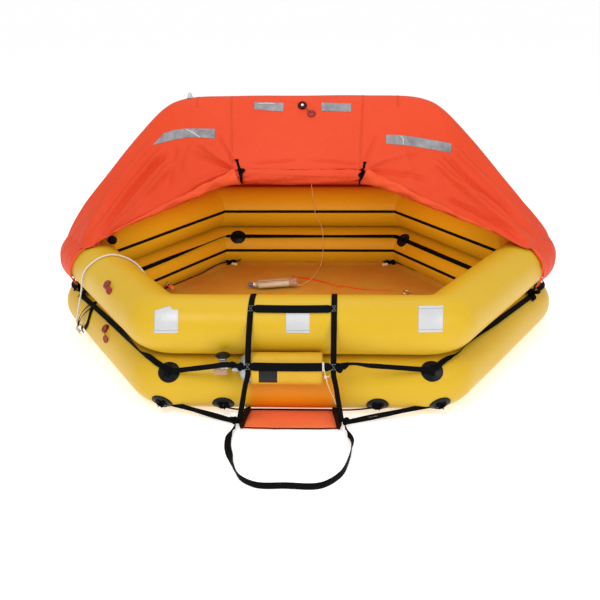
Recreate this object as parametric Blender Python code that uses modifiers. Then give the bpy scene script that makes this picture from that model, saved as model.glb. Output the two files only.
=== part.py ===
"""Inflatable life raft for six people, standing on a floor.

Two stacked hexagonal tubes carry a floor, an arch tube and a canopy whose
front doorway is rolled up.  A webbing boarding ladder hangs over the front,
with a step panel and a stirrup loop lying on the ground.

Metres, +Z up.  The origin is the middle of the hexagon on the ground.  The
boarding side faces -Y, and +X is on the right when seen from there.
"""

import math

import bmesh
import bpy
from mathutils import Matrix, Vector

# Driving sizes of the two main tubes
TUBE_RADIUS = 0.125
TUBE_HALF_HEIGHT = 0.1232
CORNER_X = 0.582
FRONT_Y = 0.943
SIDE_X = 1.155
CORNER_BEND = 0.13
CORNER_STEPS = 3
CORNER_SHARE = 0.068
TUBE_SIDES_RESOLUTION = 10
TUBE_SIDES = 24

# Clearance that touching pieces keep
GAP = 0.0003

LOWER_Z = TUBE_HALF_HEIGHT
UPPER_Z = 3 * TUBE_HALF_HEIGHT + GAP
TUBE_TOP = UPPER_Z + TUBE_HALF_HEIGHT
TUBE_SQUEEZE = TUBE_HALF_HEIGHT / TUBE_RADIUS
CREASE_Z = 2 * TUBE_HALF_HEIGHT

# Floor
FLOOR_TOP = 0.036
FLOOR_EDGE_INSET = 0.06

# Arch and canopy
ARCH_RADIUS = 0.055
CANOPY_THICKNESS = 0.003
ARCH_LEAN = -0.0155
LEAN_HEIGHT = 0.15
SEAM_LEFT_X = -0.338
SEAM_RIGHT_X = 0.295
RIDGE_WRAP = 0.0668
RIDGE_WRAP_ANGLE = math.radians(50)
SKIRT_RADIUS = 0.1325
SKIRT_ANGLES = [60, 30, 0, -30, -48]
DOOR_HALF_WIDTH = 0.29
DOOR_Y = -0.30
DOOR_Z = 0.87
ROLL_RADIUS = 0.034
ROLL_DROP = 0.0044

# Boarding ladder
WEBBING_WIDTH = 0.032
WEBBING_THICKNESS = 0.003
RUNG_HEIGHT = 0.030
RUNG_ANGLE = 127.5
STRAP_CLEARANCE = 0.0006
LADDER_TOP_X = (-0.190, 0.140)
LADDER_CREASE_X = (-0.201, 0.136)
LADDER_FOOT_X = (-0.245, 0.170)
LADDER_FOOT_Y = -1.135
STEP_BACK_Y = -1.005
STEP_FRONT_Y = -1.150
STEP_THICKNESS = 0.012
STEP_END_FRONT_Y = -1.176
STEP_END_BACK_Y = -1.035
STEP_END_THICKNESS = 0.022
STEP_END_WIDTH = 0.030
STAY_ACROSS = (0.0, 0.0226, 0.0082)
STAY_THICKNESS = 0.0025
STAY_END_Y = -1.118
STAY_END_Z = 0.010
STIRRUP_START_Y = -1.156
STIRRUP_HEIGHT = 0.030
STIRRUP_THICKNESS = 0.004
STIRRUP_FAR_Y = -1.565

# Gas bottle, lying in the crease between the tubes
BOTTLE_RADIUS = 0.062
BOTTLE_Y = -1.0868
BOTTLE_LEFT_X = -0.249
BOTTLE_RIGHT_X = 0.103
SLEEVE_LEFT_X = -0.1845
SLEEVE_RIGHT_X = 0.100
SLEEVE_THICKNESS = 0.003
BOTTLE_NECK = 0.038
VALVE_TOP = 0.040

# Lines and patches
LINE_RADIUS = 0.007
LINE_SPARE = 0.0065
PATCH_RADIUS = 0.047
INNER_PATCH_RADIUS = 0.042
PATCH_THICKNESS = 0.005
SIDE_STRAP_WIDTH = 0.020

# Painter: a rope from a ring on the left side, over the tube and into a pouch
PAINTER_RADIUS = 0.004
PAINTER_REACH = TUBE_RADIUS + PAINTER_RADIUS + 0.0015
RING_SHARE = 0.295
RING_ANGLE = -10.4
RING_RADIUS = 0.016
RING_WIRE = 0.0035
POUCH_SHARE = 0.6235
POUCH_TOP = 0.345
POUCH_HEIGHT = 0.090

# Thin cords, and the battery and torch on the floor
LEAD_RADIUS = 0.0015
LAMP_DEPTH = 0.016
BATTERY_RIGHT_X = -0.068
TORCH_RADIUS = 0.014
TORCH_LENGTH = 0.066

COLOURS = {
    "tube_yellow": ((0.82, 0.50, 0.05), 0.42, 0.0),
    "canopy_orange": ((0.88, 0.12, 0.04), 0.65, 0.0),
    "floor_orange": ((0.62, 0.26, 0.04), 0.55, 0.0),
    "webbing_black": ((0.02, 0.02, 0.022), 0.75, 0.0),
    "rubber_black": ((0.03, 0.03, 0.032), 0.60, 0.0),
    "steel": ((0.60, 0.61, 0.62), 0.30, 1.0),
    "valve_red": ((0.55, 0.03, 0.02), 0.35, 0.0),
    "clear_plastic": ((0.75, 0.78, 0.80), 0.20, 0.0),
    "rope_white": ((0.80, 0.80, 0.77), 0.75, 0.0),
}


def clear_scene():
    """Remove every object that the file holds at the start."""
    for item in list(bpy.data.objects):
        bpy.data.objects.remove(item, do_unlink=True)


def make_collection(name):
    """Make a collection under the scene's own one."""
    group = bpy.data.collections.new(name)
    bpy.context.scene.collection.children.link(group)
    return group


def make_material(name):
    """Make the Principled material whose values COLOURS gives."""
    colour, roughness, metallic = COLOURS[name]
    material = bpy.data.materials.new(name)
    material.use_nodes = True
    shader = material.node_tree.nodes["Principled BSDF"]
    shader.inputs["Base Color"].default_value = (*colour, 1.0)
    shader.inputs["Roughness"].default_value = roughness
    shader.inputs["Metallic"].default_value = metallic
    return material


def dress(item, material, smooth=True):
    """Put an object in the raft's collection with its own copy of a material."""
    PARTS.objects.link(item)
    own = MATERIALS[material].copy()
    own.name = f"{item.name}_{material}"
    item.data.materials.clear()
    item.data.materials.append(own)
    if smooth and item.type == "MESH":
        item.data.shade_smooth()
        item.data.set_sharp_from_angle(angle=math.radians(40))
    return item


def mesh_object(name, shape):
    """Turn a bmesh into an object that no collection holds yet."""
    mesh = bpy.data.meshes.new(name)
    shape.to_mesh(mesh)
    shape.free()
    return bpy.data.objects.new(name, mesh)


def add_cutter(item):
    """Keep an object as a cutter only."""
    CUTTERS.objects.link(item)
    item.hide_render = True
    item.display_type = "WIRE"
    return item


def cut(item, cutter, operation="DIFFERENCE"):
    """Give an object a Boolean with a cutter."""
    modifier = item.modifiers.new(f"{operation.lower()}_{cutter.name}", "BOOLEAN")
    modifier.object = cutter
    modifier.operation = operation
    modifier.solver = "EXACT"


def smooth_path(points, step):
    """Read points from a smooth curve through hand-chosen ones, about a step apart."""
    route = [Vector(point) for point in points]
    route = [2 * route[0] - route[1]] + route + [2 * route[-1] - route[-2]]
    result = []
    for before, start, end, after in zip(route, route[1:], route[2:], route[3:]):
        count = max(1, round((end - start).length / step))
        for index in range(count):
            t = index / count
            bend = (2 * before - 5 * start + 4 * end - after) * t * t
            twist = (3 * start - before - 3 * end + after) * t * t * t
            result.append(start + ((end - before) * t + bend + twist) / 2)
    result.append(route[-2])
    return result


def tube_curve(name, points, radius, cyclic=False, resolution=2):
    """A round tube as a bevelled curve with filled caps."""
    curve = bpy.data.curves.new(name, "CURVE")
    curve.dimensions = "3D"
    curve.bevel_depth = radius
    curve.bevel_resolution = resolution
    curve.use_fill_caps = True
    spline = curve.splines.new("POLY")
    spline.points.add(len(points) - 1)
    for target, point in zip(spline.points, points):
        target.co = (*point, 1.0)
    spline.use_cyclic_u = cyclic
    return bpy.data.objects.new(name, curve)


def curve_to_mesh(item, scale_z=1.0, middle_z=0.0):
    """Make a curve object a welded mesh, squeezed in height about middle_z."""
    CUTTERS.objects.link(item)
    graph = bpy.context.evaluated_depsgraph_get()
    mesh = bpy.data.meshes.new_from_object(item.evaluated_get(graph))
    name = item.name
    bpy.data.objects.remove(item, do_unlink=True)
    shape = bmesh.new()
    shape.from_mesh(mesh)
    bpy.data.meshes.remove(mesh)
    bmesh.ops.remove_doubles(shape, verts=shape.verts, dist=0.00001)
    for vert in shape.verts:
        vert.co.z = middle_z + (vert.co.z - middle_z) * scale_z
    return mesh_object(name, shape)


def turned(name, profile, origin, axis, steps=24):
    """Turn a profile of (radius, height) pairs about an axis with Screw."""
    shape = bmesh.new()
    verts = [shape.verts.new((radius, 0.0, height)) for radius, height in profile]
    for start, end in zip(verts, verts[1:]):
        shape.edges.new((start, end))
    item = mesh_object(name, shape)
    screw = item.modifiers.new("turn", "SCREW")
    screw.axis = "Z"
    screw.steps = steps
    screw.render_steps = steps
    screw.use_merge_vertices = True
    screw.merge_threshold = 0.0001
    screw.use_smooth_shade = True
    turn = Vector((0, 0, 1)).rotation_difference(Vector(axis)).to_matrix().to_4x4()
    item.matrix_world = Matrix.Translation(origin) @ turn
    return item


def ribbon(name, points, across, thickness):
    """Webbing: a path swept sideways by the vector across, then thickened."""
    shape = bmesh.new()
    half = Vector(across) / 2
    verts = [shape.verts.new(Vector(point) - half) for point in points]
    edges = [shape.edges.new(pair) for pair in zip(verts, verts[1:])]
    swept = bmesh.ops.extrude_edge_only(shape, edges=edges)["geom"]
    moved = [part for part in swept if isinstance(part, bmesh.types.BMVert)]
    bmesh.ops.translate(shape, verts=moved, vec=Vector(across))
    bmesh.ops.recalc_face_normals(shape, faces=shape.faces)
    item = mesh_object(name, shape)
    solid = item.modifiers.new("thickness", "SOLIDIFY")
    solid.thickness = thickness
    solid.offset = 0.0
    return item


def lean(point):
    """Shift a point of the arch or canopy sideways by its height above the tubes."""
    share = min(1.0, max(0.0, (point.z - TUBE_TOP) / LEAN_HEIGHT))
    return Vector((point.x + ARCH_LEAN * share, point.y, point.z))


def box_object(name, low, high):
    """A plain box between two corners."""
    shape = bmesh.new()
    bmesh.ops.create_cube(shape, size=1.0)
    size = Vector(high) - Vector(low)
    middle = (Vector(high) + Vector(low)) / 2
    bmesh.ops.scale(shape, vec=size, verts=shape.verts)
    bmesh.ops.translate(shape, vec=middle, verts=shape.verts)
    return mesh_object(name, shape)


def hexagon_corners():
    """The corners of the tubes' centreline, seen from above, anticlockwise."""
    right = [(SIDE_X, 0.0), (CORNER_X, FRONT_Y)]
    left = [(-CORNER_X, FRONT_Y), (-SIDE_X, 0.0)]
    front = [(-CORNER_X, -FRONT_Y), (CORNER_X, -FRONT_Y)]
    return [Vector(corner) for corner in right + left + front]


def corner_arc(index, turn_share):
    """A point on a rounded corner of the centreline, and the way outwards there.

    turn_share runs from 0 where the arc starts to 1 where it ends.
    """
    corners = hexagon_corners()
    corner = corners[index]
    along_in = (corner - corners[index - 1]).normalized()
    along_out = (corners[(index + 1) % 6] - corner).normalized()
    turn = along_in.angle(along_out)
    out_in = Vector((along_in.y, -along_in.x))
    out_out = Vector((along_out.y, -along_out.x))
    middle = corner - (out_in + out_out).normalized() * CORNER_BEND / math.cos(turn / 2)
    start_angle = math.atan2(out_in.y, out_in.x)
    angle = start_angle + turn * turn_share
    outwards = Vector((math.cos(angle), math.sin(angle)))
    return middle + outwards * CORNER_BEND, outwards


def side_point(index, share):
    """A point on the straight side that leaves corner index, and its way outwards."""
    corners = hexagon_corners()
    start = corners[index]
    end = corners[(index + 1) % 6]
    along = (end - start).normalized()
    return start.lerp(end, share), Vector((along.y, -along.x))


def around(position):
    """A centreline point and its way outwards, by how many corners lie before it.

    Corner number n is at position n, and halfway along the side after it is n + 0.5.
    """
    index = math.floor(position + 0.5) % 6
    past = position - math.floor(position + 0.5)
    if abs(past) < CORNER_SHARE:
        return corner_arc(index, 0.5 + past / CORNER_SHARE / 2)
    start = math.floor(position) % 6
    return side_point(start, position - math.floor(position))


def tube_route(start, end, angles, patches=(), rise=0.0):
    """A line's points along the lower tube, round which the angle changes.

    The points are the ends, the patches, five at each corner passed and one in
    the middle of each straight side.  The line is seated at its ends and on
    the patches, and stands a little off the tube between them.  rise is how
    far, in degrees, its middle lies above the straight change in angle.
    """
    stops = {start, end, *patches}
    for half in range(math.floor(2 * start), math.ceil(2 * end) + 1):
        near = [half / 2 + CORNER_SHARE * step / 2 for step in range(-2, 3)] if half % 2 == 0 else [half / 2]
        stops.update(stop for stop in near if start < stop < end)
    route = []
    for stop in sorted(stops):
        share = (stop - start) / (end - start)
        angle = angles[0] + (angles[1] - angles[0]) * share + rise * 4 * share * (1 - share)
        extra = PATCH_THICKNESS + GAP if stop in patches else 0.0
        spare = -GAP if stop in patches else LINE_SPARE
        if stop in (start, end) and stop not in patches:
            spare = 2 * GAP
        reach = faceted_radius(angle, extra) + LINE_RADIUS + spare
        route.append(on_tube(around(stop), angle, reach, LOWER_Z))
    return route


def on_tube(place, angle_degrees, radius, level):
    """A point round the tube's section, from a centreline point with its outward way."""
    centre, outwards = place
    angle = math.radians(angle_degrees)
    flat = centre + outwards * radius * math.cos(angle)
    return Vector((flat.x, flat.y, level + radius * TUBE_SQUEEZE * math.sin(angle)))


def off_tube(place, reach, height):
    """A point at a height, reach outwards from a centreline point."""
    flat = place[0] + place[1] * reach
    return Vector((flat.x, flat.y, height))


def faceted_radius(angle_degrees, extra=0.0):
    """How far the tube's many-sided section reaches at an angle, plus extra cloth."""
    half = 180 / TUBE_SIDES
    past = angle_degrees % (2 * half) - half
    return (TUBE_RADIUS + extra) * math.cos(math.radians(half)) / math.cos(math.radians(past))


def hexagon_tube(name, level, radius=TUBE_RADIUS):
    """One of the two main tubes, or a fatter copy of it that cuts its neighbours."""
    path = []
    for index in range(6):
        for step in range(CORNER_STEPS + 1):
            centre, _ = corner_arc(index, step / CORNER_STEPS)
            path.append((centre.x, centre.y, level))
    item = tube_curve(name, path, radius, cyclic=True, resolution=TUBE_SIDES_RESOLUTION)
    return curve_to_mesh(item, TUBE_SQUEEZE, level)


def build_tubes():
    """Both tubes, and the slightly fatter copies that their neighbours are cut by."""
    dress(hexagon_tube("lower_tube", LOWER_Z), "tube_yellow")
    dress(hexagon_tube("upper_tube", UPPER_Z), "tube_yellow")
    for name, level in (("lower_tube_room", LOWER_Z), ("upper_tube_room", UPPER_Z)):
        add_cutter(hexagon_tube(name, level, TUBE_RADIUS + GAP))
    add_cutter(hexagon_tube("patch_surface", LOWER_Z, TUBE_RADIUS + GAP + PATCH_THICKNESS))
    add_cutter(hexagon_tube("stay_room", LOWER_Z, TUBE_RADIUS + 2 * GAP + PATCH_THICKNESS))


def build_floor():
    """The floor: a flat hexagon whose edge is cut to the lower tube's round."""
    curve = bpy.data.curves.new("raft_floor", "CURVE")
    curve.dimensions = "2D"
    curve.fill_mode = "BOTH"
    curve.extrude = FLOOR_TOP / 2
    spline = curve.splines.new("POLY")
    spline.points.add(5)
    share = 1 - FLOOR_EDGE_INSET / FRONT_Y
    for target, corner in zip(spline.points, hexagon_corners()):
        target.co = (corner.x * share, corner.y * share, 0.0, 1.0)
    spline.use_cyclic_u = True
    outline = bpy.data.objects.new("raft_floor", curve)
    outline.location.z = FLOOR_TOP / 2
    CUTTERS.objects.link(outline)
    bpy.context.view_layer.update()
    graph = bpy.context.evaluated_depsgraph_get()
    mesh = bpy.data.meshes.new_from_object(outline.evaluated_get(graph))
    mesh.transform(outline.matrix_world)
    bpy.data.objects.remove(outline, do_unlink=True)
    shape = bmesh.new()
    shape.from_mesh(mesh)
    bpy.data.meshes.remove(mesh)
    bmesh.ops.remove_doubles(shape, verts=shape.verts, dist=0.00001)
    item = dress(mesh_object("raft_floor", shape), "floor_orange", smooth=False)
    cut(item, bpy.data.objects["lower_tube_room"])


def arch_route():
    """The arch tube's centreline from the left foot over the top to the right foot."""
    half = [
        (0.0, 1.098),
        (0.30, 1.098),
        (0.47, 1.090),
        (0.567, 1.064),
        (0.665, 0.994),
        (0.758, 0.895),
        (0.863, 0.765),
        (0.950, 0.630),
        (1.015, 0.500),
        (1.040, 0.420),
    ]
    left = [(-x, 0.0, z) for x, z in reversed(half)]
    right = [(x, 0.0, z) for x, z in half[1:]]
    return left + right


def build_arch():
    """The arch tube, cut where its feet stand on the upper tube."""
    route = [lean(point) for point in smooth_path(arch_route(), 0.09)]
    item = curve_to_mesh(tube_curve("arch_tube", route, ARCH_RADIUS, resolution=6))
    dress(item, "tube_yellow")
    cut(item, bpy.data.objects["upper_tube_room"])


def canopy_columns():
    """The canopy's right half as columns from the side corner to the middle.

    Each column has its ridge point (x, z), how far the cloth wraps round the
    arch there, its place on the tube behind, and its hem point in front, which
    is a place on the tube near the corner and a free point further in.
    """
    ridge = [
        (1.212, 0.495, 0.02),
        (1.172, 0.553, 0.03),
        (1.083, 0.662, 0.045),
        (0.983, 0.776, 0.055),
        (0.853, 0.925, RIDGE_WRAP),
        (0.763, 1.020, RIDGE_WRAP),
        (0.720, 1.063, RIDGE_WRAP),
        (0.678, 1.100, RIDGE_WRAP),
        (0.632, 1.130, RIDGE_WRAP),
        (0.575, 1.150, RIDGE_WRAP),
        (0.300, 1.165, RIDGE_WRAP),
        (0.000, 1.165, RIDGE_WRAP),
    ]
    back = [corner_arc(0, 0.75), corner_arc(0, 1.0)]
    back += [side_point(0, share) for share in (0.26, 0.46, 0.73)]
    back += [corner_arc(1, share) for share in (0.0, 0.25, 0.5, 0.75, 1.0)]
    back += [side_point(1, share) for share in (0.24, 0.5)]
    front = [corner_arc(0, 0.25), corner_arc(0, 0.0), side_point(5, 0.74)]
    hem_outer = Vector((1.010, -0.243, 0.515))
    hem_inner = Vector((DOOR_HALF_WIDTH, DOOR_Y, DOOR_Z))
    front += [hem_outer.lerp(hem_inner, share) for share in (0.19, 0.345, 0.5, 0.59, 0.68, 0.77, 0.87, 1.0)]
    front += [Vector((0.0, DOOR_Y, DOOR_Z))]
    return ridge, back, front


def ridge_row(ridge, side):
    """Ridge points with the cloth's first bend to the back (side 1) or front (side -1)."""
    points = [Vector((x, 0.0, z)) for x, z, _ in ridge]
    result = []
    for index, (x, z, wrap) in enumerate(ridge):
        before = points[max(index - 1, 0)]
        after = points[min(index + 1, len(points) - 1)]
        along = (after - before).normalized()
        outwards = Vector((-along.z, 0.0, along.x))
        if outwards.z < 0:
            outwards = -outwards
        if index == len(ridge) - 1:
            outwards = Vector((0.0, 0.0, 1.0))
        middle = points[index] - outwards * wrap
        bend = Vector((0.0, side * math.sin(RIDGE_WRAP_ANGLE), 0.0))
        result.append(middle + (outwards * math.cos(RIDGE_WRAP_ANGLE) + bend) * wrap)
    return points, result


def add_strip(shape, first, second):
    """Faces between two rows of points; points that meet give a triangle."""
    for start, end in zip(range(len(first) - 1), range(1, len(first))):
        corners = [first[start], first[end], second[end], second[start]]
        verts = [shape.verts.new(corner) for corner in corners]
        shape.faces.new(verts)


def build_canopy():
    """The canopy: cloth from the ridge to the skirt behind and to the hem in front.

    It is made whole and then parted into three panels at its two seams.
    """
    ridge, back, front = canopy_columns()
    apex = corner_arc(0, 0.5)
    top_angle = SKIRT_ANGLES[0]
    corner_top = on_tube(apex, top_angle - 18, SKIRT_RADIUS, UPPER_Z)
    shape = bmesh.new()
    for side, columns in ((1, back), (-1, front)):
        top, bend = ridge_row(ridge, side)
        edge = []
        for place in columns:
            on_skirt = isinstance(place, tuple)
            edge.append(on_tube(place, top_angle, SKIRT_RADIUS, UPPER_Z) if on_skirt else place)
        rows = [top, bend, [a.lerp(b, 0.5) for a, b in zip(bend, edge)], edge]
        rows = [[corner_top] + row for row in rows]
        for first, second in zip(rows, rows[1:]):
            add_strip(shape, first, second)
    skirt = [side_point(5, 0.74), corner_arc(0, 0.0), corner_arc(0, 0.25), apex] + back
    for first_angle, second_angle in zip(SKIRT_ANGLES, SKIRT_ANGLES[1:]):
        first = [on_tube(place, first_angle, SKIRT_RADIUS, UPPER_Z) for place in skirt]
        second = [on_tube(place, second_angle, SKIRT_RADIUS, UPPER_Z) for place in skirt]
        if first_angle == top_angle:
            first[3] = corner_top
        add_strip(shape, first, second)
    bmesh.ops.remove_doubles(shape, verts=shape.verts, dist=0.0001)
    bmesh.ops.dissolve_degenerate(shape, edges=shape.edges, dist=0.0001)
    half = shape.verts[:] + shape.edges[:] + shape.faces[:]
    bmesh.ops.mirror(shape, geom=half, axis="X", merge_dist=0.0001)
    for vert in shape.verts:
        vert.co = lean(vert.co)
    bmesh.ops.recalc_face_normals(shape, faces=shape.faces)
    upward = sum(face.normal.z * face.calc_area() for face in shape.faces)
    if upward < 0:
        bmesh.ops.reverse_faces(shape, faces=shape.faces)
    whole = mesh_object("canopy", shape)
    far = 2 * SIDE_X
    panels = {
        "canopy_left": (-far, SEAM_LEFT_X - GAP / 2),
        "canopy_middle": (SEAM_LEFT_X + GAP / 2, SEAM_RIGHT_X - GAP / 2),
        "canopy_right": (SEAM_RIGHT_X + GAP / 2, far),
    }
    for name, (low, high) in panels.items():
        room = add_cutter(box_object(f"{name}_room", (low, -far, 0.0), (high, far, far)))
        item = dress(bpy.data.objects.new(name, whole.data.copy()), "canopy_orange")
        solid = item.modifiers.new("cloth", "SOLIDIFY")
        solid.thickness = CANOPY_THICKNESS
        solid.offset = 1.0
        cut(item, room, "INTERSECT")
    bpy.data.objects.remove(whole, do_unlink=True)


def build_door():
    """The rolled-up doorway flap and the two straps that hold the roll."""
    middle_z = DOOR_Z - ROLL_DROP - ROLL_RADIUS
    ends = DOOR_HALF_WIDTH + 0.012
    route = [
        (ARCH_LEAN - ends, DOOR_Y, middle_z),
        (ARCH_LEAN - 0.15, DOOR_Y - 0.002, middle_z - 0.003),
        (ARCH_LEAN, DOOR_Y - 0.003, middle_z - 0.004),
        (ARCH_LEAN + 0.15, DOOR_Y - 0.002, middle_z - 0.003),
        (ARCH_LEAN + ends, DOOR_Y, middle_z),
    ]
    dress(tube_curve("door_roll", smooth_path(route, 0.07), ROLL_RADIUS, resolution=3), "canopy_orange")
    reach = ROLL_RADIUS + WEBBING_THICKNESS - GAP
    for name, x in (("door_strap_left", -0.287), ("door_strap_right", 0.268)):
        arc = []
        for degrees in range(-150, 151, 30):
            angle = math.radians(degrees) - math.pi / 2
            arc.append((x, DOOR_Y - 0.0005 + reach * math.cos(angle), middle_z - 0.001 + reach * math.sin(angle)))
        dress(ribbon(name, arc, (0.012, 0.0, 0.0), WEBBING_THICKNESS * 0.7), "webbing_black")


def strap_x(side, degrees):
    """How far across a ladder strap is, by its angle round the upper tube."""
    share = min(1.0, (degrees - 75) / 120)
    return LADDER_TOP_X[side] + (LADDER_CREASE_X[side] - LADDER_TOP_X[side]) * share


def bottle_front():
    """Where webbing passes in front of the sleeve of the gas bottle."""
    return BOTTLE_Y - BOTTLE_RADIUS - SLEEVE_THICKNESS - 2 * GAP - WEBBING_THICKNESS / 2


def ladder_path(side):
    """A ladder strap: over the upper tube, past the bottle and down to the ground."""
    reach = TUBE_RADIUS + STRAP_CLEARANCE + WEBBING_THICKNESS / 2
    crease_x = LADDER_CREASE_X[side]
    foot_x = LADDER_FOOT_X[side]
    path = []
    for degrees in (75, 90, 105, 120, 135, 148):
        angle = math.radians(degrees)
        place = (-FRONT_Y + reach * math.cos(angle), UPPER_Z + reach * TUBE_SQUEEZE * math.sin(angle))
        path.append((strap_x(side, degrees), *place))
    front = bottle_front()
    path.append((crease_x, front + 0.009, 0.282))
    path.append((crease_x, front, 0.245))
    path.append((crease_x + (foot_x - crease_x) * 0.25, front + 0.001, 0.20))
    path.append((foot_x, LADDER_FOOT_Y, STEP_END_THICKNESS + 2 * GAP))
    return path


def build_ladder():
    """Two straps, two rungs and the step panel of the boarding ladder."""
    across = (WEBBING_WIDTH, 0.0, 0.0)
    for side, name in enumerate(("ladder_strap_left", "ladder_strap_right")):
        dress(ribbon(name, ladder_path(side), across, WEBBING_THICKNESS), "webbing_black")
    clear = WEBBING_WIDTH / 2 + 3 * GAP
    reach = TUBE_RADIUS + STRAP_CLEARANCE + WEBBING_THICKNESS / 2
    middle = math.radians(RUNG_ANGLE)
    upper = (-FRONT_Y + reach * math.cos(middle), UPPER_Z + reach * math.sin(middle))
    lean = (0.0, -RUNG_HEIGHT * math.sin(middle), RUNG_HEIGHT * math.cos(middle))
    lower = (bottle_front(), 0.262)
    rungs = (
        ("ladder_rung_upper", RUNG_ANGLE, upper, lean),
        ("ladder_rung_lower", 198, lower, (0.0, 0.0, RUNG_HEIGHT)),
    )
    for name, degrees, (y, z), across_rung in rungs:
        left = strap_x(0, degrees) + clear
        right = strap_x(1, degrees) - clear
        dress(ribbon(name, [(left, y, z), (right, y, z)], across_rung, WEBBING_THICKNESS), "webbing_black")
    left = LADDER_FOOT_X[0] + STEP_END_WIDTH / 2
    right = LADDER_FOOT_X[1] - STEP_END_WIDTH / 2
    panel = box_object("step_panel", (left, STEP_FRONT_Y, 0.0), (right, STEP_BACK_Y, STEP_THICKNESS))
    dress(panel, "canopy_orange", smooth=False)
    ends = (("step_end_left", left - GAP - STEP_END_WIDTH), ("step_end_right", right + GAP))
    for name, start in ends:
        low = (start, STEP_END_FRONT_Y, 0.0)
        high = (start + STEP_END_WIDTH, STEP_END_BACK_Y, STEP_END_THICKNESS)
        dress(box_object(name, low, high), "rubber_black", smooth=False)


def build_stays():
    """The two straps that hold the ladder's foot to the outermost patches below."""
    beside = STEP_END_WIDTH / 2 + 2 * GAP
    feet = (("ladder_stay_left", -1, LADDER_FOOT_X[0] - beside), ("ladder_stay_right", 1, LADDER_FOOT_X[1] + beside))
    for name, side, end_x in feet:
        route = [
            (side * 0.562, -1.022, 0.048),
            (side * 0.520, -1.056, 0.026),
            (side * 0.440, -1.085, 0.0125),
            (end_x + side * 0.06, STAY_END_Y + 0.010, STAY_END_Z),
            (end_x, STAY_END_Y, STAY_END_Z),
        ]
        item = dress(ribbon(name, route, STAY_ACROSS, STAY_THICKNESS), "webbing_black")
        cut(item, bpy.data.objects["stay_room"])


def ladder_cord_route():
    """The thin cord from the ladder's lower rung, past the tube to the step's right end."""
    front = bottle_front() - WEBBING_THICKNESS / 2 - LEAD_RADIUS
    return [
        (0.098, front - GAP, 0.284),
        (0.099, front - 0.001, 0.270),
        (0.104, front - 0.002, 0.245),
        (0.110, front, 0.215),
        (0.121, -1.135, 0.170),
        (0.137, -1.104, 0.115),
        (0.150, -1.084, 0.070),
        (0.158, -1.070, 0.045),
        (0.162, -1.058, 0.030),
        (0.163, -1.045, STEP_END_THICKNESS + LEAD_RADIUS + GAP),
    ]


def build_ladder_cord():
    """The thin white cord that hangs in front of the gas bottle."""
    route = smooth_path(ladder_cord_route(), 0.008)
    dress(tube_curve("ladder_cord", route, LEAD_RADIUS), "rope_white")


def stirrup_route():
    """The stirrup loop's route on the ground, from its left end to its right end.

    Its ends lie against the outer faces of the step's two ends.
    """
    beside = STEP_END_WIDTH / 2 + 2 * GAP + STIRRUP_THICKNESS / 2
    left = LADDER_FOOT_X[0] - beside
    right = LADDER_FOOT_X[1] + beside
    return [
        (left, STIRRUP_START_Y, 0.0),
        (left, STEP_END_FRONT_Y - 0.01, 0.0),
        (left + 0.004, -1.28, 0.0),
        (left + 0.024, -1.41, 0.0),
        (left + 0.062, -1.50, 0.0),
        (left + 0.114, STIRRUP_FAR_Y + 0.015, 0.0),
        (-0.037, STIRRUP_FAR_Y, 0.0),
        (right - 0.099, STIRRUP_FAR_Y + 0.015, 0.0),
        (right - 0.039, -1.49, 0.0),
        (right - 0.006, -1.39, 0.0),
        (right + 0.002, -1.27, 0.0),
        (right, STEP_END_FRONT_Y - 0.01, 0.0),
        (right, STIRRUP_START_Y, 0.0),
    ]


def build_stirrup():
    """The stirrup loop, a band that stands on edge and hinges on the ladder's foot."""
    route = smooth_path(stirrup_route(), 0.06)
    lifted = [point + Vector((0.0, 0.0, STIRRUP_HEIGHT / 2)) for point in route]
    dress(ribbon("stirrup_loop", lifted, (0.0, 0.0, STIRRUP_HEIGHT), STIRRUP_THICKNESS), "webbing_black")


def build_gas_bottle():
    """The gas bottle in the crease, its sleeve and its valve."""
    radius = BOTTLE_RADIUS
    length = BOTTLE_RIGHT_X - BOTTLE_LEFT_X
    profile = [(0.0, length), (radius * 0.6, length - 0.008), (radius * 0.9, length - 0.028)]
    profile += [(radius, length - 0.05), (radius, 0.055), (radius * 0.9, 0.028)]
    profile += [(radius * 0.6, 0.010), (0.016, 0.003), (0.016, -BOTTLE_NECK), (0.0, -BOTTLE_NECK)]
    origin = (BOTTLE_LEFT_X, BOTTLE_Y, CREASE_Z)
    dress(turned("gas_bottle", profile, origin, (1, 0, 0)), "steel", smooth=False)
    inner = radius + GAP
    outer = inner + SLEEVE_THICKNESS
    start = SLEEVE_LEFT_X - BOTTLE_LEFT_X
    end = SLEEVE_RIGHT_X - BOTTLE_LEFT_X
    sleeve = [(inner, end), (outer, end), (outer, start), (inner, start), (inner, end)]
    dress(turned("bottle_sleeve", sleeve, origin, (1, 0, 0)), "tube_yellow", smooth=False)
    head_x = BOTTLE_LEFT_X - BOTTLE_NECK - GAP
    body = box_object("bottle_valve", (head_x - 0.038, BOTTLE_Y - 0.014, CREASE_Z - 0.016),
                      (head_x, BOTTLE_Y + 0.014, CREASE_Z + VALVE_TOP))
    dress(body, "steel", smooth=False)
    knob = [(0.0, 0.022), (0.020, 0.020), (0.030, 0.012), (0.022, 0.003), (0.010, 0.0), (0.0, 0.0)]
    top = (head_x - 0.019, BOTTLE_Y, CREASE_Z + VALVE_TOP + GAP)
    dress(turned("bottle_valve_knob", knob, top, (0, 0, 1), steps=16), "rubber_black", smooth=False)


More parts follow.
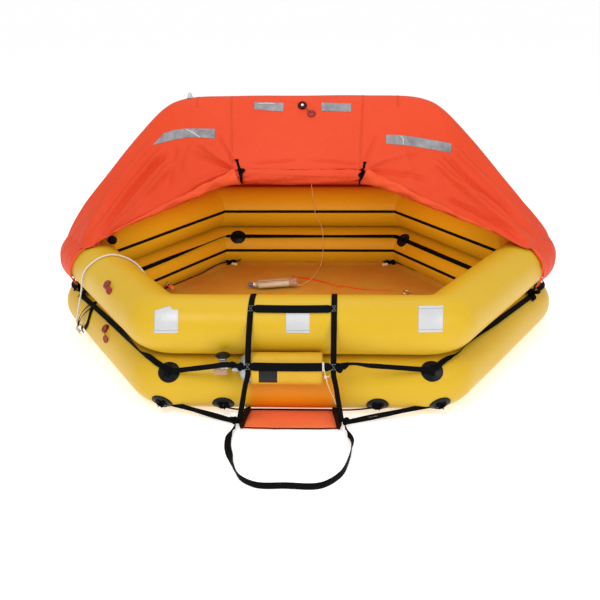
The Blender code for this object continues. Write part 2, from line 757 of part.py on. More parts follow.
def patch_on_tube(name, place, angle_degrees, radius, material):
    """A round patch on the lower tube: a disc cut between two surfaces round the tube."""
    centre, outwards = place
    angle = math.radians(angle_degrees)
    normal = Vector((outwards.x * math.cos(angle), outwards.y * math.cos(angle), math.sin(angle)))
    turn = Vector((0, 0, 1)).rotation_difference(normal).to_matrix().to_4x4()
    middle = Matrix.Translation(on_tube(place, angle_degrees, TUBE_RADIUS, LOWER_Z))
    shape = bmesh.new()
    bmesh.ops.create_cone(shape, cap_ends=True, segments=20, radius1=radius, radius2=radius, depth=0.05)
    bmesh.ops.transform(shape, matrix=middle @ turn, verts=shape.verts)
    item = dress(mesh_object(name, shape), material)
    cut(item, bpy.data.objects["patch_surface"], "INTERSECT")
    cut(item, bpy.data.objects["lower_tube_room"])


def build_patches():
    """Round rubber patches that hold the lines to the tubes."""
    grab = {
        "front_left": (side_point(4, 0.042), 38),
        "front_right": (side_point(4, 0.958), 38),
        "back_left": (side_point(1, 0.93), 30),
        "back_right": (side_point(1, 0.07), 30),
    }
    for name, (place, angle) in grab.items():
        patch_on_tube(f"grab_patch_{name}", place, angle, PATCH_RADIUS, "rubber_black")
    for number, share in enumerate((0.012, 0.223, 0.773, 0.988), start=1):
        place = around(4 + share)
        patch_on_tube(f"ballast_patch_{number}", place, -42, PATCH_RADIUS, "rubber_black")
    inner = {"back_left": 1.88, "back_right": 0.885, "front_left": 4.12, "front_right": 5.115}
    for name, position in inner.items():
        patch_on_tube(f"inner_patch_{name}", around(position), 140, INNER_PATCH_RADIUS, "rubber_black")


def build_lines():
    """The grab lines outside and the hand line inside."""
    left_strap = LADDER_CREASE_X[0] - WEBBING_WIDTH / 2 - LINE_RADIUS - 2 * GAP
    right_strap = LADDER_CREASE_X[1] + WEBBING_WIDTH / 2 + LINE_RADIUS + 2 * GAP
    routes = {
        "grab_line_left": tube_route(3.18, 3.9475, (50, 38), patches=(3.9475,), rise=12),
        "grab_line_right": tube_route(5.0525, 5.82, (38, 50), patches=(5.0525,), rise=12),
        "grab_line_back": tube_route(-0.10, 3.10, (52, 52), patches=(1.07, 1.93), rise=-23),
        "hand_line": tube_route(-0.885, 4.12, (140, 140), patches=(-0.885, 0.885, 1.88, 4.12)),
    }
    above_patch = faceted_radius(38, PATCH_THICKNESS + GAP) + LINE_RADIUS + 2 * GAP
    routes["grab_line_front_left"] = tube_route(4.052, 4.10, (38, 40), patches=(4.052,))[:1]
    routes["grab_line_front_left"] += [on_tube(around(4.066), 38, above_patch, LOWER_Z)]
    routes["grab_line_front_left"] += [(-0.374, -1.112, 0.256), (-0.278, -1.146, 0.280)]
    routes["grab_line_front_left"] += [(left_strap - 0.001, -1.158, 0.281)]
    routes["grab_line_front_right"] = [(right_strap + 0.001, -1.156, 0.281), (0.215, -1.140, 0.280)]
    routes["grab_line_front_right"] += [(0.330, -1.104, 0.258)]
    routes["grab_line_front_right"] += [on_tube(around(4.934), 38, above_patch, LOWER_Z)]
    routes["grab_line_front_right"] += tube_route(4.90, 4.948, (40, 38), patches=(4.948,))[-1:]
    for name, route in routes.items():
        dress(tube_curve(name, route, LINE_RADIUS), "webbing_black")


def outward_normal(place, angle_degrees):
    """The way out of a tube's surface at an angle round its section."""
    angle = math.radians(angle_degrees)
    flat = place[1] * math.cos(angle)
    return Vector((flat.x, flat.y, math.sin(angle)))


def build_valves():
    """Relief valves on the left side, and the arch's own valve through the canopy."""
    profile = [(0.0, 0.010), (0.014, 0.010), (0.018, 0.006), (0.018, 0.0), (0.0, 0.0)]
    sides = (("relief_valve_upper", 0.672, 37.5, UPPER_Z), ("relief_valve_lower", 0.581, 37.5, LOWER_Z))
    for name, share, angle, level in sides:
        place = side_point(3, share)
        spot = on_tube(place, angle, faceted_radius(angle) + 2 * GAP, level)
        dress(turned(name, profile, spot, outward_normal(place, angle), steps=16), "valve_red", smooth=False)
    rim = [(0.0, 0.007), (0.010, 0.007), (0.012, 0.010), (0.019, 0.009), (0.021, 0.005), (0.021, 0.0), (0.0, 0.0)]
    slope = Vector((0.0, -0.7367, 0.6762))
    spot = Vector((-0.0107, -0.0625, 1.1288)) + slope * (CANOPY_THICKNESS + 2 * GAP)
    dress(turned("arch_valve", rim, spot, slope, steps=20), "rubber_black", smooth=False)


def build_side_ties():
    """The straps that tie the canopy's side corners down to the lower tube."""
    outside = SKIRT_RADIUS + CANOPY_THICKNESS + WEBBING_THICKNESS / 2 + 2 * GAP
    on_lower = TUBE_RADIUS + WEBBING_THICKNESS / 2 + 4 * GAP
    for name, side in (("side_tie_left", 3), ("side_tie_right", 5)):
        shares = (0.215, 0.21, 0.205, 0.175, 0.17)
        places = [side_point(side, share if side == 3 else 1 - share) for share in shares]
        route = [on_tube(place, angle, outside, UPPER_Z) for place, angle in zip(places, (-36, -48, -54))]
        route += [on_tube(place, angle, on_lower, LOWER_Z) for place, angle in zip(places[3:], (67, 57))]
        corners = hexagon_corners()
        along = (corners[(side + 1) % 6] - corners[side]).normalized() * SIDE_STRAP_WIDTH
        strap = ribbon(name, route, (along.x, along.y, 0.0), WEBBING_THICKNESS)
        dress(strap, "webbing_black")


def painter_route():
    """The painter's route: up from its ring, over the upper tube and down to the pouch."""
    ring_reach = TUBE_RADIUS + RING_RADIUS + RING_WIRE + 2 * GAP
    touch = math.radians(70)
    span = RING_RADIUS + RING_WIRE + GAP
    ring = on_tube(side_point(3, RING_SHARE), RING_ANGLE, ring_reach, LOWER_Z)
    reach = ring_reach * math.cos(math.radians(RING_ANGLE))
    route = [off_tube(side_point(3, RING_SHARE), reach + span * math.cos(touch), ring.z + span * math.sin(touch))]
    hanging = ((0.300, 0.1555, 0.140), (0.315, 0.153, 0.168), (0.332, 0.147, 0.218), (0.360, 0.140, 0.284),
               (0.378, 0.1345, 0.335))
    route += [off_tube(side_point(3, share), out, height) for share, out, height in hanging]
    lying = ((0.394, 14), (0.4066, 30), (0.424, 48), (0.436, 70), (0.448, 92), (0.467, 108), (0.484, 122),
             (0.498, 135), (0.509, 147), (0.524, 157), (0.546, 163), (0.575, 166))
    route += [on_tube(side_point(3, share), angle, PAINTER_REACH, UPPER_Z) for share, angle in lying]
    turning = ((0.5965, -0.1275, 0.4005), (0.6095, -0.1298, 0.3950), (0.6190, -0.1322, 0.3835),
               (POUCH_SHARE, -0.134, 0.3670), (POUCH_SHARE, -0.134, POUCH_TOP + GAP))
    route += [off_tube(side_point(3, share), out, height) for share, out, height in turning]
    return route


def build_painter():
    """The painter with its strap, its ring and the pouch that takes its other end."""
    corners = hexagon_corners()
    along = (corners[4] - corners[3]).normalized()
    width = 0.030
    beside = (RING_WIRE + GAP + width / 2) / (corners[4] - corners[3]).length
    route = []
    for step in range(7):
        share = 0.475 + (RING_SHARE + beside - 0.475) * step / 6
        angle = 44 + (RING_ANGLE - 44) * step / 6
        route.append(on_tube(side_point(3, share), angle, TUBE_RADIUS + WEBBING_THICKNESS / 2 + 3 * GAP, LOWER_Z))
    strap = ribbon("painter_strap", route, (along.x * width, along.y * width, 0.0), WEBBING_THICKNESS)
    dress(strap, "webbing_black")
    section = []
    for step in range(9):
        turn = math.radians(-45 * step)
        section.append((RING_RADIUS + RING_WIRE * math.cos(turn), RING_WIRE * math.sin(turn)))
    ring_reach = TUBE_RADIUS + RING_RADIUS + RING_WIRE + 2 * GAP
    centre = on_tube(side_point(3, RING_SHARE), RING_ANGLE, ring_reach, LOWER_Z)
    dress(turned("painter_ring", section, centre, (along.x, along.y, 0.0), steps=20), "steel")
    rope = tube_curve("painter_rope", smooth_path(painter_route(), 0.02), PAINTER_RADIUS, resolution=3)
    dress(rope, "rope_white")
    pouch = box_object("line_pouch", (-0.07, -0.160, POUCH_TOP - POUCH_HEIGHT), (0.07, -0.105, POUCH_TOP))
    place, outwards = side_point(3, POUCH_SHARE)
    columns = Matrix(((along.x, outwards.x, 0.0), (along.y, outwards.y, 0.0), (0.0, 0.0, 1.0))).to_4x4()
    pouch.data.transform(Matrix.Translation((place.x, place.y, 0.0)) @ columns)
    if columns.determinant() < 0:
        pouch.data.flip_normals()
    dress(pouch, "floor_orange", smooth=False)
    cut(pouch, bpy.data.objects["upper_tube_room"])


def lead_route():
    """The lamp lead's route: from the arch, hanging to the back wall, then along the floor."""
    floor = FLOOR_TOP + LEAD_RADIUS + GAP
    wall = FRONT_Y - TUBE_RADIUS - LEAD_RADIUS - 0.001
    lamp_side = 0.018 + GAP
    return [
        (ARCH_LEAN, lamp_side, 1.034),
        (ARCH_LEAN, lamp_side + 0.008, 1.034),
        (ARCH_LEAN + 0.003, 0.040, 1.022),
        (-0.008, 0.060, 0.995),
        (0.000, 0.120, 0.925),
        (0.008, 0.250, 0.800),
        (0.017, 0.420, 0.655),
        (0.025, 0.600, 0.525),
        (0.030, 0.740, 0.430),
        (0.033, 0.800, 0.382),
        (0.040, wall, 0.345),
        (0.062, wall, 0.305),
        (0.0746, wall, 0.2726),
        (0.080, wall, 0.235),
        (0.082, wall, 0.199),
        (0.0825, wall, 0.155),
        (0.0821, wall, 0.119),
        (0.079, wall - 0.001, 0.085),
        (0.074, 0.800, 0.055),
        (0.068, 0.776, floor + 0.002),
        (0.060, 0.735, floor),
        (0.045, 0.650, floor),
        (0.019, 0.553, floor),
        (-0.015, 0.470, floor),
        (-0.040, 0.422, floor + 0.003),
        (BATTERY_RIGHT_X + 0.014, 0.404, 0.047),
        (BATTERY_RIGHT_X + GAP, 0.404, 0.047),
    ]


def build_light():
    """The ridge lamp, the inner lamp and its lead to the battery on the floor."""
    dome = [(0.0, 0.026), (0.010, 0.024), (0.016, 0.017), (0.018, 0.006), (0.018, 0.0), (0.0, 0.0)]
    place = (-0.555, 0.0, 1.1516 + CANOPY_THICKNESS + 2 * GAP)
    dress(turned("ridge_lamp", dome, place, (-0.0535, 0, 1), steps=16), "clear_plastic", smooth=False)
    inner = [(0.0, LAMP_DEPTH), (0.012, LAMP_DEPTH - 0.002), (0.018, 0.010), (0.018, 0.0), (0.0, 0.0)]
    below = (ARCH_LEAN, 0.0, 1.098 - ARCH_RADIUS - GAP)
    dress(turned("inner_lamp", inner, below, (0, 0, -1), steps=16), "clear_plastic", smooth=False)
    dress(tube_curve("lamp_lead", smooth_path(lead_route(), 0.027), LEAD_RADIUS), "rope_white")
    low = (-0.283, 0.36, FLOOR_TOP + GAP)
    high = (BATTERY_RIGHT_X, 0.43, FLOOR_TOP + 0.035)
    dress(box_object("battery_bag", low, high), "clear_plastic", smooth=False)


def build_torch():
    """The small hand torch that lies on the floor by the left wall."""
    radius = TORCH_RADIUS
    length = TORCH_LENGTH
    profile = [(0.0, length), (radius * 0.8, length), (radius, length - 0.004), (radius, 0.004), (radius * 0.8, 0.0)]
    profile.append((0.0, 0.0))
    start = (-0.810, 0.338, FLOOR_TOP + radius + GAP)
    dress(turned("hand_torch", profile, start, (0.52, -0.854, 0.0), steps=16), "canopy_orange", smooth=False)


def build_raft():
    """Build every piece of the raft in order, from the ground up."""
    build_tubes()
    build_floor()
    build_arch()
    build_canopy()
    build_door()
    build_ladder()
    build_stays()
    build_ladder_cord()
    build_stirrup()
    build_gas_bottle()
    build_patches()
    build_lines()
    build_valves()
    build_side_ties()
    build_painter()
    build_light()
    build_torch()


clear_scene()
PARTS = make_collection("life_raft")
CUTTERS = make_collection("cutters")
MATERIALS = {name: make_material(name) for name in COLOURS}
build_raft()
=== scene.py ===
"""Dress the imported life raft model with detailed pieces, finishes, light and a camera."""

import logging
import math
from collections.abc import Iterator, Sequence
from contextlib import contextmanager
from dataclasses import dataclass, replace
from enum import Enum

import bmesh
import bpy
import numpy as np
from mathutils import Matrix, Vector
from mathutils.bvhtree import BVHTree


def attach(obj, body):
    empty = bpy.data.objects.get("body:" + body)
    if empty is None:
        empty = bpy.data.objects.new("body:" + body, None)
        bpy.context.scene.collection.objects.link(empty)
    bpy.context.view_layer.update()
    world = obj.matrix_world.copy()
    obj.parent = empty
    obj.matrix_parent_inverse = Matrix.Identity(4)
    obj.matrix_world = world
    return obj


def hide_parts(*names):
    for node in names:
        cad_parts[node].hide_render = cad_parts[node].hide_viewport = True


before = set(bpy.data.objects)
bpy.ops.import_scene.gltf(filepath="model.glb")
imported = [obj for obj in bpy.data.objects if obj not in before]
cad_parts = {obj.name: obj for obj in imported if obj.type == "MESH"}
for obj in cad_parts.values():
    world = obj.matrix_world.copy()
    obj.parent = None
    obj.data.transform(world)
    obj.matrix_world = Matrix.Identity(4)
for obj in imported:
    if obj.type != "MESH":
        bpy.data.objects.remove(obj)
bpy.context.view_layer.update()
LOG = logging.getLogger("life_raft")
UP = np.array([0.0, 0.0, 1.0])
GAP = 0.0003
LEAN, LEAN_FROM, LEAN_RISE = 0.0155, 0.4931, 0.15
PATCH_RADIUS = 0.0468
RIPPLE_WAVES = 9
Item = bpy.types.Object
Pair = tuple[float, float]
Pairs = Sequence[Pair]
Point = tuple[float, float, float]
Colour = Point


class Body(Enum):
    """The bodies that a piece can ride on."""

    RAFT = "raft"
    STIRRUP = "stirrup"


class Coords(Enum):
    """What a finish's pattern follows."""

    OBJECT = "Object"
    SURFACE = "UV"


@dataclass(frozen=True)
class PhotoCamera:
    """The camera at the photograph's viewing angle, in a square frame of frame_px pixels."""

    place: Point = (0.113, -4.1511, 1.7173)
    yaw: float = -0.0353
    pitch: float = 0.3687
    roll: float = -0.0097
    focal_px: float = 846.37
    frame_px: float = 600.0

    def axes(self) -> tuple[np.ndarray, np.ndarray, np.ndarray]:
        """Return the camera's ways to the right, up and forward."""
        flat = math.cos(self.pitch)
        forward = np.array([math.sin(self.yaw) * flat, math.cos(self.yaw) * flat, -math.sin(self.pitch)])
        right = unit(np.cross(forward, UP))
        up = np.cross(right, forward)
        cos, sin = math.cos(self.roll), math.sin(self.roll)
        return right * cos + up * sin, up * cos - right * sin, forward

    def project(self, points: np.ndarray) -> np.ndarray:
        """Find where points show in the frame.

        Args:
            points: An array of points whose last axis is x, y, z.

        Returns:
            Their pixels, with the last axis x, y.
        """
        right, up, forward = self.axes()
        offset = points - np.array(self.place)
        scale = self.focal_px / (offset @ forward)
        middle = self.frame_px / 2
        return np.stack([middle + offset @ right * scale, middle - offset @ up * scale], -1)

    def ray(self, x: float, y: float) -> tuple[Vector, Vector]:
        """Return the start and the way of the line of sight through a pixel."""
        right, up, forward = self.axes()
        middle = self.frame_px / 2
        way = forward + right * (x - middle) / self.focal_px - up * (y - middle) / self.focal_px
        return Vector(self.place), Vector(unit(way))

    def build(self) -> Item:
        """Add the camera to the scene and make it the active one."""
        data = bpy.data.cameras.new("photo_camera")
        data.sensor_width = 36.0
        data.lens = 36.0 * self.focal_px / self.frame_px
        data.clip_end = 200.0
        item = stand("photo_camera", data)
        right, up, forward = self.axes()
        turn = Matrix((right, up, -forward)).transposed().to_4x4()
        item.matrix_world = Matrix.Translation(self.place) @ turn
        bpy.context.scene.camera = item
        return item


def stand(name: str, data: bpy.types.ID) -> Item:
    """Put a new object into the scene.

    Args:
        name: The object's name.
        data: What it shows: a mesh, a light or a camera.

    Returns:
        The object.
    """
    item = bpy.data.objects.new(name, data)
    bpy.context.scene.collection.objects.link(item)
    return item


def unit(ways: np.ndarray) -> np.ndarray:
    """Scale vectors, held in the last axis, to length one."""
    return ways / np.maximum(np.linalg.norm(ways, axis=-1, keepdims=True), 1e-12)


def vec(*values: float) -> np.ndarray:
    """Return a vector."""
    return np.array(values, float)


def steady(way: np.ndarray) -> np.ndarray:
    """Return the upright way, or +Y where the given way is nearly upright itself."""
    return UP if abs(way[2]) < 0.9 else vec(0.0, 1.0, 0.0)


def distances(points: np.ndarray) -> np.ndarray:
    """Return how far along a path each of its points is."""
    return np.concatenate([[0.0], np.cumsum(np.linalg.norm(np.diff(points, axis=0), axis=1))])


def smooth(values: Sequence, where: np.ndarray | None = None, step: float = 0.01,
           knots: Sequence[float] | None = None) -> np.ndarray:
    """Read a smooth curve through given values.

    Args:
        values: The values, one row for each knot.
        where: Places along the knots to read, or None for about one per step.
        step: The spacing when where is None, in the knots' unit.
        knots: The place of each value, or None for the distance along them.

    Returns:
        The curve's values, one row for each place.
    """
    rows = np.asarray(values, float)
    flat = rows.reshape(len(rows), -1)
    places = distances(flat) if knots is None else np.asarray(knots, float)
    gaps = np.maximum(np.diff(places), 1e-9)
    slopes = np.diff(flat, axis=0) / gaps[:, None]
    tangents = np.empty_like(flat)
    tangents[0], tangents[-1] = slopes[0], slopes[-1]
    weight = gaps[1:, None] + gaps[:-1, None]
    tangents[1:-1] = (slopes[:-1] * gaps[1:, None] + slopes[1:] * gaps[:-1, None]) / weight
    if where is None:
        where = np.linspace(places[0], places[-1], max(2, round((places[-1] - places[0]) / step) + 1))
    where = np.asarray(where, float)
    index = np.clip(np.searchsorted(places, where, "right") - 1, 0, len(gaps) - 1)
    gap = gaps[index][:, None]
    t = np.clip((where - places[index]) / gaps[index], 0, 1)[:, None]
    start, end = flat[index], flat[index + 1]
    result = (2 * t**3 - 3 * t**2 + 1) * start + (3 * t**2 - 2 * t**3) * end
    result += ((t**3 - 2 * t**2 + t) * tangents[index] + (t**3 - t**2) * tangents[index + 1]) * gap
    return result.reshape((len(where),) + rows.shape[1:])


def ease(values: np.ndarray, low: float, high: float) -> np.ndarray:
    """Rise smoothly from 0 at low to 1 at high."""
    t = np.clip((np.asarray(values, float) - low) / (high - low), 0, 1)
    return t * t * (3 - 2 * t)


def ripple(points: np.ndarray, size: float, seed: int) -> np.ndarray:
    """Sum seeded sine waves in space into an irregular ripple of about -1 to 1.

    Args:
        points: Points whose last axis is x, y, z.
        size: The waves' mean length, in metres.
        seed: The seed of their ways and phases.

    Returns:
        One height for each point.
    """
    source = np.random.default_rng(seed)
    total = np.zeros(points.shape[:-1])
    for _ in range(RIPPLE_WAVES):
        way = unit(source.normal(size=3)) * math.tau / (size * source.uniform(0.6, 1.7))
        total += np.sin(points @ way + source.uniform(0, math.tau))
    return total / math.sqrt(RIPPLE_WAVES) / 1.4


@dataclass(frozen=True)
class Hull:
    """The six-sided ring of tubes: its sizes, and places on it.

    A position counts the corners before a place, anticlockwise from the right one.
    """

    tube: float = 0.125
    squeeze: float = 0.1232 / 0.125
    corner_x: float = 0.582
    front_y: float = 0.943
    side_x: float = 1.155
    bend: float = 0.13
    corner_share: float = 0.068
    lower: float = 0.1232
    upper: float = 0.3699
    floor_top: float = 0.036

    def corners(self) -> np.ndarray:
        """Return the corners of the tubes' centreline, seen from above."""
        x, y, far = self.corner_x, self.front_y, self.side_x
        return np.array([(far, 0.0), (x, y), (-x, y), (-far, 0.0), (-x, -y), (x, -y)])

    def around(self, position: float) -> tuple[np.ndarray, np.ndarray]:
        """Find a point of the centreline.

        Args:
            position: The place along the ring.

        Returns:
            The point seen from above, and the way outwards there.
        """
        corners = self.corners()
        nearest = math.floor(position + 0.5)
        past = position - nearest
        index = nearest % 6
        if abs(past) < self.corner_share:
            along_in = unit(corners[index] - corners[index - 1])
            along_out = unit(corners[(index + 1) % 6] - corners[index])
            out_in = np.array([along_in[1], -along_in[0]])
            out_out = np.array([along_out[1], -along_out[0]])
            turn = math.acos(float(along_in @ along_out))
            middle = corners[index] - unit(out_in + out_out) * self.bend / math.cos(turn / 2)
            angle = math.atan2(out_in[1], out_in[0]) + turn * (0.5 + past / self.corner_share / 2)
            out = np.array([math.cos(angle), math.sin(angle)])
            return middle + out * self.bend, out
        start = math.floor(position)
        first, second = corners[start % 6], corners[(start + 1) % 6]
        along = unit(second - first)
        return first + (second - first) * (position - start), np.array([along[1], -along[0]])

    def spot(self, position: float, degrees: float, reach: float, level: float) -> np.ndarray:
        """Find a point round the section of a tube whose middle is at a level."""
        centre, out = self.around(position)
        angle = math.radians(degrees)
        flat = centre + out * reach * math.cos(angle)
        return np.array([flat[0], flat[1], level + reach * self.squeeze * math.sin(angle)])

    def normal(self, position: float, degrees: float) -> np.ndarray:
        """Return the way out of a tube's surface at an angle round its section."""
        _, out = self.around(position)
        angle = math.radians(degrees)
        return np.array([out[0] * math.cos(angle), out[1] * math.cos(angle), math.sin(angle)])

    def walk(self, start: float, end: float, straight: float = 0.04, corner: int = 14) -> np.ndarray:
        """List positions from start to end, close together on the corners.

        Args:
            start: The first position.
            end: The last position.
            straight: The spacing on straight sides, in positions.
            corner: How many steps each corner takes.

        Returns:
            The rising positions.
        """
        share = self.corner_share
        stops = {round(start, 6), round(end, 6)}
        for number in range(math.floor(start) - 1, math.ceil(end) + 2):
            stops.update(round(float(x), 6) for x in np.linspace(number - share, number + share, corner + 1))
            count = max(2, round((1 - 2 * share) / straight))
            stops.update(round(float(x), 6) for x in np.linspace(number + share, number + 1 - share, count + 1))
        return np.array(sorted(stop for stop in stops if start - 1e-9 <= stop <= end + 1e-9))


HULL = Hull()
CAMERA = PhotoCamera()


def lean(points: np.ndarray) -> np.ndarray:
    """Shift points of the arch and canopy to the left, as the part does, by their height."""
    share = np.clip((points[..., 2] - LEAN_FROM) / LEAN_RISE, 0, 1)
    result = points.copy()
    result[..., 0] -= LEAN * share
    return result


@contextmanager
def edited(mesh: bpy.types.Mesh) -> Iterator[bmesh.types.BMesh]:
    """Open a mesh for editing, and write it back at the end.

    Args:
        mesh: The mesh.

    Yields:
        Its editable copy.
    """
    shape = bmesh.new()
    shape.from_mesh(mesh)
    yield shape
    shape.to_mesh(mesh)
    shape.free()


def turn_outwards(shape: bmesh.types.BMesh, toward: np.ndarray | None) -> None:
    """Turn the faces outwards.

    Args:
        shape: The open mesh.
        toward: A rough way out of an open sheet, or None for a closed shape.
    """
    bmesh.ops.recalc_face_normals(shape, faces=shape.faces)
    if toward is not None:
        total = sum((face.normal * face.calc_area() for face in shape.faces), Vector())
        if total.dot(Vector(toward)) < 0:
            bmesh.ops.reverse_faces(shape, faces=shape.faces)


def place_mesh(name: str, verts: np.ndarray, faces: Sequence, uvs: np.ndarray | None = None,
               toward: np.ndarray | None = None, sharp: float = 50.0) -> Item:
    """Make an object from points and faces, with its faces turned outwards.

    Args:
        name: The object's name.
        verts: The points.
        faces: Tuples of point numbers.
        uvs: One pair for each point, or None.
        toward: A rough way out of an open sheet, or None for a closed shape.
        sharp: The angle in degrees above which edges stay sharp.

    Returns:
        The object, in the scene's collection.
    """
    mesh = bpy.data.meshes.new(name)
    mesh.from_pydata([tuple(vert) for vert in np.asarray(verts, float)], [], [tuple(face) for face in faces])
    if uvs is not None:
        layer = mesh.uv_layers.new(name="UVMap")
        picks = np.empty(len(mesh.loops), int)
        mesh.loops.foreach_get("vertex_index", picks)
        layer.data.foreach_set("uv", np.asarray(uvs, float)[picks].ravel())
    with edited(mesh) as shape:
        turn_outwards(shape, toward)
    item = stand(name, mesh)
    mesh.shade_smooth()
    mesh.set_sharp_from_angle(angle=math.radians(sharp))
    return item


def grid_faces(rows: int, columns: int, loop_rows: bool = False, loop_columns: bool = False) -> list[tuple]:
    """List the four-sided faces of a grid of points, numbered row by row."""
    faces = []
    for row in range(rows if loop_rows else rows - 1):
        after = (row + 1) % rows
        for column in range(columns if loop_columns else columns - 1):
            beside = (column + 1) % columns
            faces.append((row * columns + column, row * columns + beside,
                          after * columns + beside, after * columns + column))
    return faces


def grid(name: str, points: np.ndarray, uvs: np.ndarray | None = None, toward: np.ndarray | None = None,
         loop_rows: bool = False, loop_columns: bool = False, caps: bool = False,
         sharp: float = 50.0) -> Item:
    """Make a surface from a grid of points.

    Args:
        name: The object's name.
        points: An array of rows by columns by 3.
        uvs: Pattern places for the same grid, or None.
        toward: A rough way out of an open sheet, or None for a closed shape.
        loop_rows: Whether the last row joins the first.
        loop_columns: Whether the last column joins the first.
        caps: Whether flat faces close the first and last rows.
        sharp: The angle in degrees above which edges stay sharp.

    Returns:
        The object.
    """
    rows, columns = points.shape[:2]
    faces = grid_faces(rows, columns, loop_rows, loop_columns)
    if caps:
        faces.append(tuple(range(columns)))
        faces.append(tuple(range((rows - 1) * columns, rows * columns)))
    flat_uvs = None if uvs is None else uvs.reshape(-1, 2)
    return place_mesh(name, points.reshape(-1, 3), faces, flat_uvs, toward, sharp)


def path_frames(path: np.ndarray, guide: np.ndarray | None, loop: bool = False) -> tuple[np.ndarray, ...]:
    """Find the ways along, beside and up at each point of a path.

    Args:
        path: The points.
        guide: Rough ways up, one or one for each point, or None for no twist.
        loop: Whether the path joins its own start.

    Returns:
        The ways along, beside and up.
    """
    if loop:
        along = unit(np.roll(path, -1, 0) - np.roll(path, 1, 0))
    else:
        along = unit(np.gradient(path, axis=0))
    if guide is None:
        up = np.empty_like(along)
        seed = steady(along[0])
        up[0] = unit(seed - along[0] * (seed @ along[0]))
        for index in range(1, len(path)):
            carried = up[index - 1]
            up[index] = unit(carried - along[index] * (carried @ along[index]))
    else:
        ways = np.broadcast_to(np.asarray(guide, float), path.shape)
        up = unit(ways - along * np.sum(ways * along, axis=1, keepdims=True))
    return along, np.cross(along, up), up


def sweep(name: str, path: np.ndarray, section: np.ndarray, guide: np.ndarray | None = None,
          loop: bool = False, sharp: float = 50.0) -> Item:
    """Carry a closed section along a path.

    Args:
        name: The object's name.
        path: The points of the path.
        section: Pairs (beside, up), or an array of them for each point of the path.
        guide: Rough ways up, or None for no twist.
        loop: Whether the path joins its own start.
        sharp: The angle in degrees above which edges stay sharp.

    Returns:
        The object, whose UV map runs along and round it in metres.
    """
    _, beside, up = path_frames(path, guide, loop)
    rings = np.broadcast_to(section, (len(path),) + section.shape[-2:])
    points = path[:, None] + beside[:, None] * rings[..., :1] + up[:, None] * rings[..., 1:]
    length = distances(path)
    edge = np.linalg.norm(np.diff(rings[0], axis=0, append=rings[0][:1]), axis=1)
    girth = np.concatenate([[0.0], np.cumsum(edge)[:-1]])
    uvs = np.stack(np.broadcast_arrays(length[:, None], girth[None, :]), -1)
    return grid(name, points, uvs, None, loop, True, not loop, sharp)


def round_angles(count: int) -> np.ndarray:
    """Return evenly spaced angles once round a circle."""
    return np.arange(count) * math.tau / count


def round_section(radius: float, sides: int = 16) -> np.ndarray:
    """Return the points of a circle as (beside, up) pairs."""
    angles = round_angles(sides)
    return np.stack([np.cos(angles), np.sin(angles)], -1) * radius


def strap_section(width: float, thickness: float, steps: int = 8) -> np.ndarray:
    """Return the section of flat webbing with soft edges as (beside, up) pairs."""
    across = -np.cos(np.linspace(0, math.pi, steps + 1))
    half = np.sqrt(np.maximum(1 - np.abs(across) ** 8, 0)) * thickness / 2
    top = np.stack([across * width / 2, half], -1)
    bottom = np.stack([across * width / 2, -half], -1)[::-1][1:-1]
    return np.concatenate([top, bottom])


def lathe(name: str, profile: Pairs, place: Sequence[float],
          axis: Sequence[float], steps: int = 48, sharp: float = 35.0) -> Item:
    """Turn a profile about an axis.

    Args:
        name: The object's name.
        profile: Pairs of radius and height, from end to end.
        place: Where height 0 is.
        axis: The way of rising height.
        steps: How many steps the turn takes.
        sharp: The angle in degrees above which edges stay sharp.

    Returns:
        The closed object.
    """
    along = unit(np.asarray(axis, float))
    side = unit(np.cross(along, steady(along)))
    other = np.cross(along, side)
    verts, rings = [], []
    for radius, height in profile:
        centre = np.asarray(place, float) + along * height
        if radius < 1e-6:
            rings.append([len(verts)] * steps)
            verts.append(centre)
            continue
        rings.append(list(range(len(verts), len(verts) + steps)))
        for angle in round_angles(steps):
            verts.append(centre + (side * math.cos(angle) + other * math.sin(angle)) * radius)
    faces = []
    for first, second in zip(rings, rings[1:]):
        for index in range(steps):
            after = (index + 1) % steps
            corners = [first[index], first[after], second[after], second[index]]
            faces.append(tuple(dict.fromkeys(corners)))
    return place_mesh(name, np.array(verts), [face for face in faces if len(face) > 2], None, None, sharp)


def tidy_box(name: str, low: Sequence[float], high: Sequence[float], bevel: float) -> Item:
    """Make a box with rounded edges.

    Args:
        name: The object's name.
        low: Its lowest corner.
        high: Its highest corner.
        bevel: How far the rounding reaches.

    Returns:
        The object.
    """
    mesh = bpy.data.meshes.new(name)
    with edited(mesh) as shape:
        bmesh.ops.create_cube(shape, size=1.0)
        bmesh.ops.scale(shape, vec=Vector(high) - Vector(low), verts=shape.verts)
        bmesh.ops.bevel(shape, geom=shape.edges[:], offset=bevel, segments=3, affect="EDGES", profile=0.5)
        bmesh.ops.translate(shape, vec=(Vector(high) + Vector(low)) / 2, verts=shape.verts)
    mesh.shade_smooth()
    return stand(name, mesh)


def join(name: str, items: Sequence[Item]) -> Item:
    """Join mesh objects into the first.

    Args:
        name: The name that the first one gets.
        items: The objects, which keep their materials.

    Returns:
        The first object, with all the meshes in it.
    """
    bpy.context.view_layer.update()
    with bpy.context.temp_override(active_object=items[0], selected_editable_objects=list(items)):
        bpy.ops.object.join()
    items[0].name = name
    items[0].data.name = name
    return items[0]


def evaluated(item: Item) -> bpy.types.Mesh:
    """Return a new mesh of an object with its modifiers applied."""
    bpy.context.view_layer.update()
    return bpy.data.meshes.new_from_object(item.evaluated_get(bpy.context.evaluated_depsgraph_get()))


def surface_tree(items: Sequence[Item]) -> BVHTree:
    """Build a search tree over objects' faces, for laying pieces on them.

    Args:
        items: The objects, read with their modifiers applied.

    Returns:
        The tree.
    """
    shape = bmesh.new()
    for item in items:
        mesh = evaluated(item)
        shape.from_mesh(mesh)
        bpy.data.meshes.remove(mesh)
    tree = BVHTree.FromBMesh(shape)
    shape.free()
    return tree


